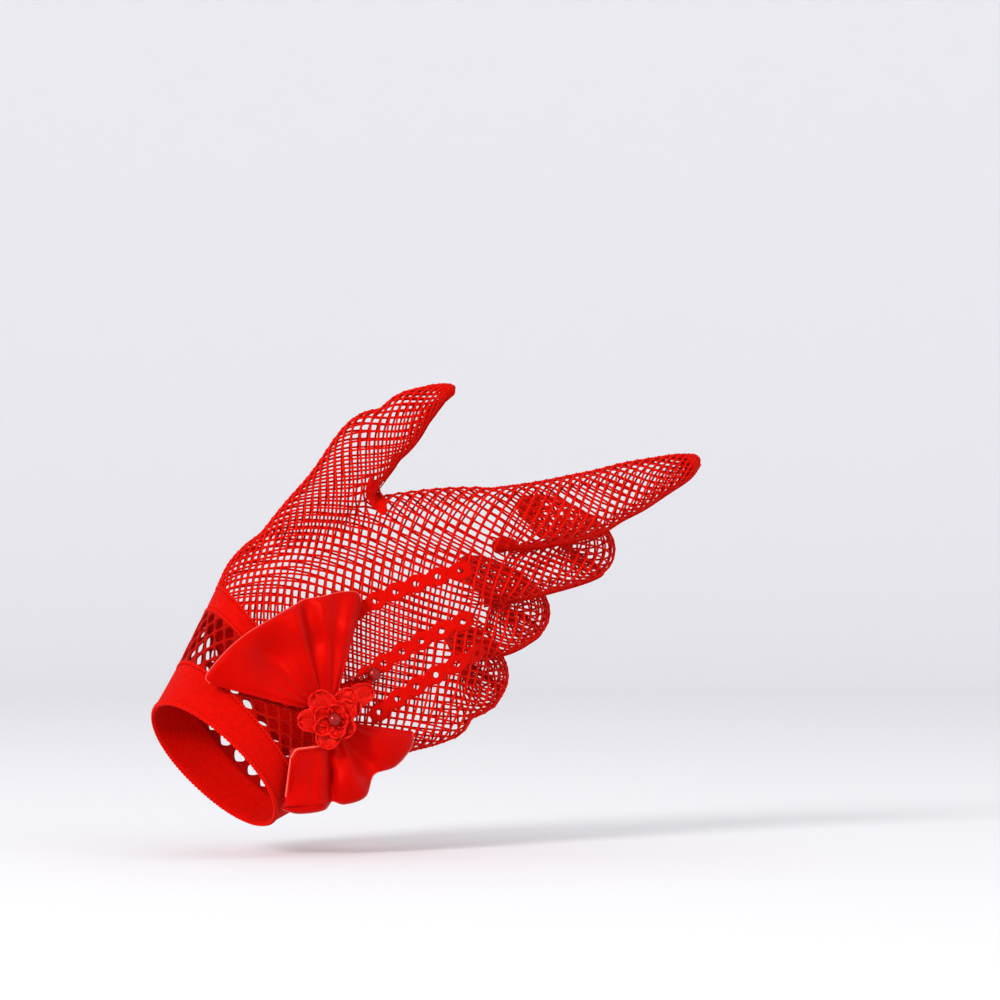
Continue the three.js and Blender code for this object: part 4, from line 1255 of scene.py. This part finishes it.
# Points of a petal at shares of its length and half width
def petalPoint(along, over, x, z, turn, long, wide, cup, depth, drop):
    along, over = np.broadcast_arrays(np.asarray(along, float), np.asarray(over, float))
    a = math.radians(turn)
    tipFrom = outline["tipFrom"]
    rounded = np.sqrt(np.maximum(1 - np.maximum(along - tipFrom, 0) ** 2 / outline["tipLong"] ** 2, 0))
    swing = np.pi * np.minimum(along, tipFrom) ** outline["bend"] * outline["swing"] + outline["root"]
    half = wide * np.sin(swing) * np.maximum(rounded, outline["blunt"])
    u, v = long * along, half * over
    rim = np.maximum(np.abs(over), along) ** outline["rimPower"]
    ruffle = lace["ruffle"] * rim * np.sin(over * outline["waves"] + turn) * (0.4 + 0.6 * along)
    slant = along * outline["wavesAlong"] + over * outline["wavesSlant"] + turn
    ruffle = ruffle + lace["ruffle"] * 0.5 * rim * np.cos(slant)
    lift = cup * (along ** 2 * outline["cupAlong"] + over ** 2 * outline["cupOver"]) - drop * along + ruffle
    return np.stack([x + u * math.cos(a) - v * math.sin(a), depth - lift,
                     z + u * math.sin(a) + v * math.cos(a)], -1)


# The corded edge, the veins and the fine bars of one petal
def petalCords(*shape):
    t = np.linspace(lace["from"], 1, lace["cordSteps"])
    forward = np.array([0, -lace["off"], 0])
    lines = []
    for side, top, end, steps, half, tint in lace["rims"]:
        edge = np.concatenate([petalPoint(t[:top], -side, *shape),
                               petalPoint(t[top - 1], np.linspace(-end, end, steps), *shape),
                               petalPoint(t[top - 1::-1], side, *shape)])
        lines.append((edge + forward, half, 0.0, tint))
    for over, reach in lace["veins"]:
        s = np.linspace(lace["veinFrom"], reach, lace["veinSteps"])
        vein = petalPoint(s, over * s, *shape) + forward * lace["veinOff"]
        lines.append((vein, lace["vein"], 0.0, lace["veinTint"]))
    steps, reach = lace["barSteps"], lace["barReach"]
    for place in np.linspace(*lace["barPlaces"], lace["bars"]):
        wave = place + lace["barZigzag"] * np.sign(np.sin(np.arange(steps) * np.pi / 2 + 0.5))
        bar = petalPoint(wave, np.linspace(-reach, reach, steps), *shape)
        lines.append((bar + forward, lace["bar"], 0.0, lace["barTint"]))
    return lines


def laceWork(name, shapes, nodeName):
    rows, across = lace["rows"], lace["across"]
    along, over = np.meshgrid(np.linspace(lace["from"], 1, rows), np.linspace(-1, 1, across), indexing="ij")
    points = np.concatenate([petalPoint(along, over, *shape).reshape(-1, 3) for shape in shapes])
    starts = range(0, len(points), rows * across)
    faces = [face for start in starts for face in bandFaces(rows, across, start, closed=False)]
    sheet = meshPiece(name + "_organza", points, faces)
    thicken(sheet, lace["sheet"])
    give(sheet, "lace", nodeName)
    cord = strandPiece(name + "_cord", [line for shape in shapes for line in petalCords(*shape)], "lace")


def petalShape(turn, long, wide, forward=0.0, cup=flower["cup"]):
    return flower["x"], flower["z"], turn, long, wide, cup, flowerDepth - forward, 0


petalShapes = [petalShape(*petal) for petal in petals]
petalShapes += [petalShape(turn + flower["innerTurn"], long * flower["innerLong"], wide * flower["innerWide"],
                           flower["innerUp"], flower["innerCup"]) for turn, long, wide in petals]
petalShapes += [petalShape(*petal) for petal in sidePetals]
laceWork("flower", petalShapes, "flower")
leafShape = (*(leaf[key] for key in ("x", "z", "turn", "long", "wide", "cup")), leafDepth, leaf["drop"])
laceWork("leaf", [leafShape], "lace_leaf")
print("flower ready")

# Round glossy beads, drilled, with a little thread in the hole
beads = {"flower_bead": 2.45, "spray_bead": 2.5, "spray_bead_small": 1.3, "spray_bead_tiny": 1.05}
drill = {"sides": 36, "rows": 18, "axis": (0.85, 0.15, 0.5), "hole": 0.17, "narrow": 0.8, "end": 0.9,
         "thread": 0.13, "out": 1.25, "steps": 15, "droop": 0.5, "tint": 0.5}


# Adds one bead, and gives the line of its thread
def beadPiece(name, radius):
    low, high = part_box(name)
    middle = np.array((low + high) / 2) / mm
    axis = unit(np.array(drill["axis"]))
    side = unit(np.cross(axis, [0, 1, 0]))
    front = np.cross(axis, side)
    start = math.asin(drill["hole"])
    profile = [(math.sin(a) * radius, math.cos(a) * radius)
               for a in np.linspace(start, math.pi - start, drill["rows"])]
    profile += [(drill["hole"] * radius * drill["narrow"], way * radius * drill["end"]) for way in (-1, 1)]
    turn = turnsOf(drill["sides"])
    points = np.concatenate([middle + axis * along + side * (np.cos(turn) * out)[:, None]
                             + front * (np.sin(turn) * out)[:, None] for out, along in profile])
    faces = bandFaces(len(profile), drill["sides"], wrapped=True)
    piece = meshPiece(name.replace("bead", "pearl"), points, faces)
    clean(piece)
    give(piece, "bead", name)
    back = np.array([0, 1, 0]) * drill["droop"]
    thread = np.array([middle + (axis * t + back * t ** 4) * radius
                       for t in np.linspace(-drill["out"], drill["out"], drill["steps"])])
    return thread, drill["thread"] * radius, 0.0, drill["tint"]


strandPiece("bead_threads", [beadPiece(name, radius) for name, radius in beads.items()], "net")
print("beads ready")

# Round floor that sweeps up into a backdrop on every side, light and camera. Lengths here are metres
room = {"radius": 4.2, "low": -0.032, "bend": 1.6, "high": 1.9, "sides": 96, "color": (0.84, 0.84, 0.86)}
sky = {"color": (0.94, 0.94, 0.965), "strength": 0.84}
lamps = {
    "key": {"place": (-1.7, -2.6, 1.5), "size": 0.9, "power": 88},
    "fill": {"place": (2.2, -2.0, 0.8), "size": 2.5, "power": 14},
}
lampAim = (0.07, 0.03, 0.05)
view = {"place": (0.075, -1.35, 0.055), "sensor": 36, "lens": 138.9, "shift": (0.072, 0.107)}


def sweep():
    radius, low, bend = room["radius"], room["low"], room["bend"]
    turn = np.linspace(0, np.pi / 2, 25)
    profile = [(radius - bend + bend * math.sin(t), low + bend * (1 - math.cos(t))) for t in turn]
    profile += [(radius, room["high"])]
    points = [(far * math.cos(a) / mm, far * math.sin(a) / mm, high / mm)
              for far, high in profile for a in turnsOf(room["sides"])]
    faces = [tuple(range(room["sides"]))]
    faces += [face[::-1] for face in bandFaces(len(profile), room["sides"])]
    made = meshPiece("floor", points, faces)
    made.data.materials.append(material("floor", room["color"], 0.95, Specular_IOR_Level=0.1))


sweep()
world = bpy.context.scene.world or bpy.data.worlds.new("World")
bpy.context.scene.world = world
world.use_nodes = True
background = world.node_tree.nodes["Background"]
background.inputs[0].default_value = (*sky["color"], 1)
background.inputs[1].default_value = sky["strength"]
for name, lamp in lamps.items():
    light = bpy.data.lights.new(name, "AREA")
    light.size = lamp["size"]
    light.energy = lamp["power"]
    held = placed(name, light)
    held.location = lamp["place"]
    aim = Vector(lampAim) - held.location
    held.rotation_euler = aim.to_track_quat("-Z", "Y").to_euler()

camera = placed("Camera", bpy.data.cameras.new("Camera"))
camera.location = view["place"]
camera.rotation_euler = (math.radians(90), 0, 0)
camera.data.sensor_width = view["sensor"]
camera.data.lens = view["lens"]
camera.data.shift_x, camera.data.shift_y = view["shift"]
bpy.context.scene.camera = camera
bpy.context.scene.view_settings.view_transform = "Standard"
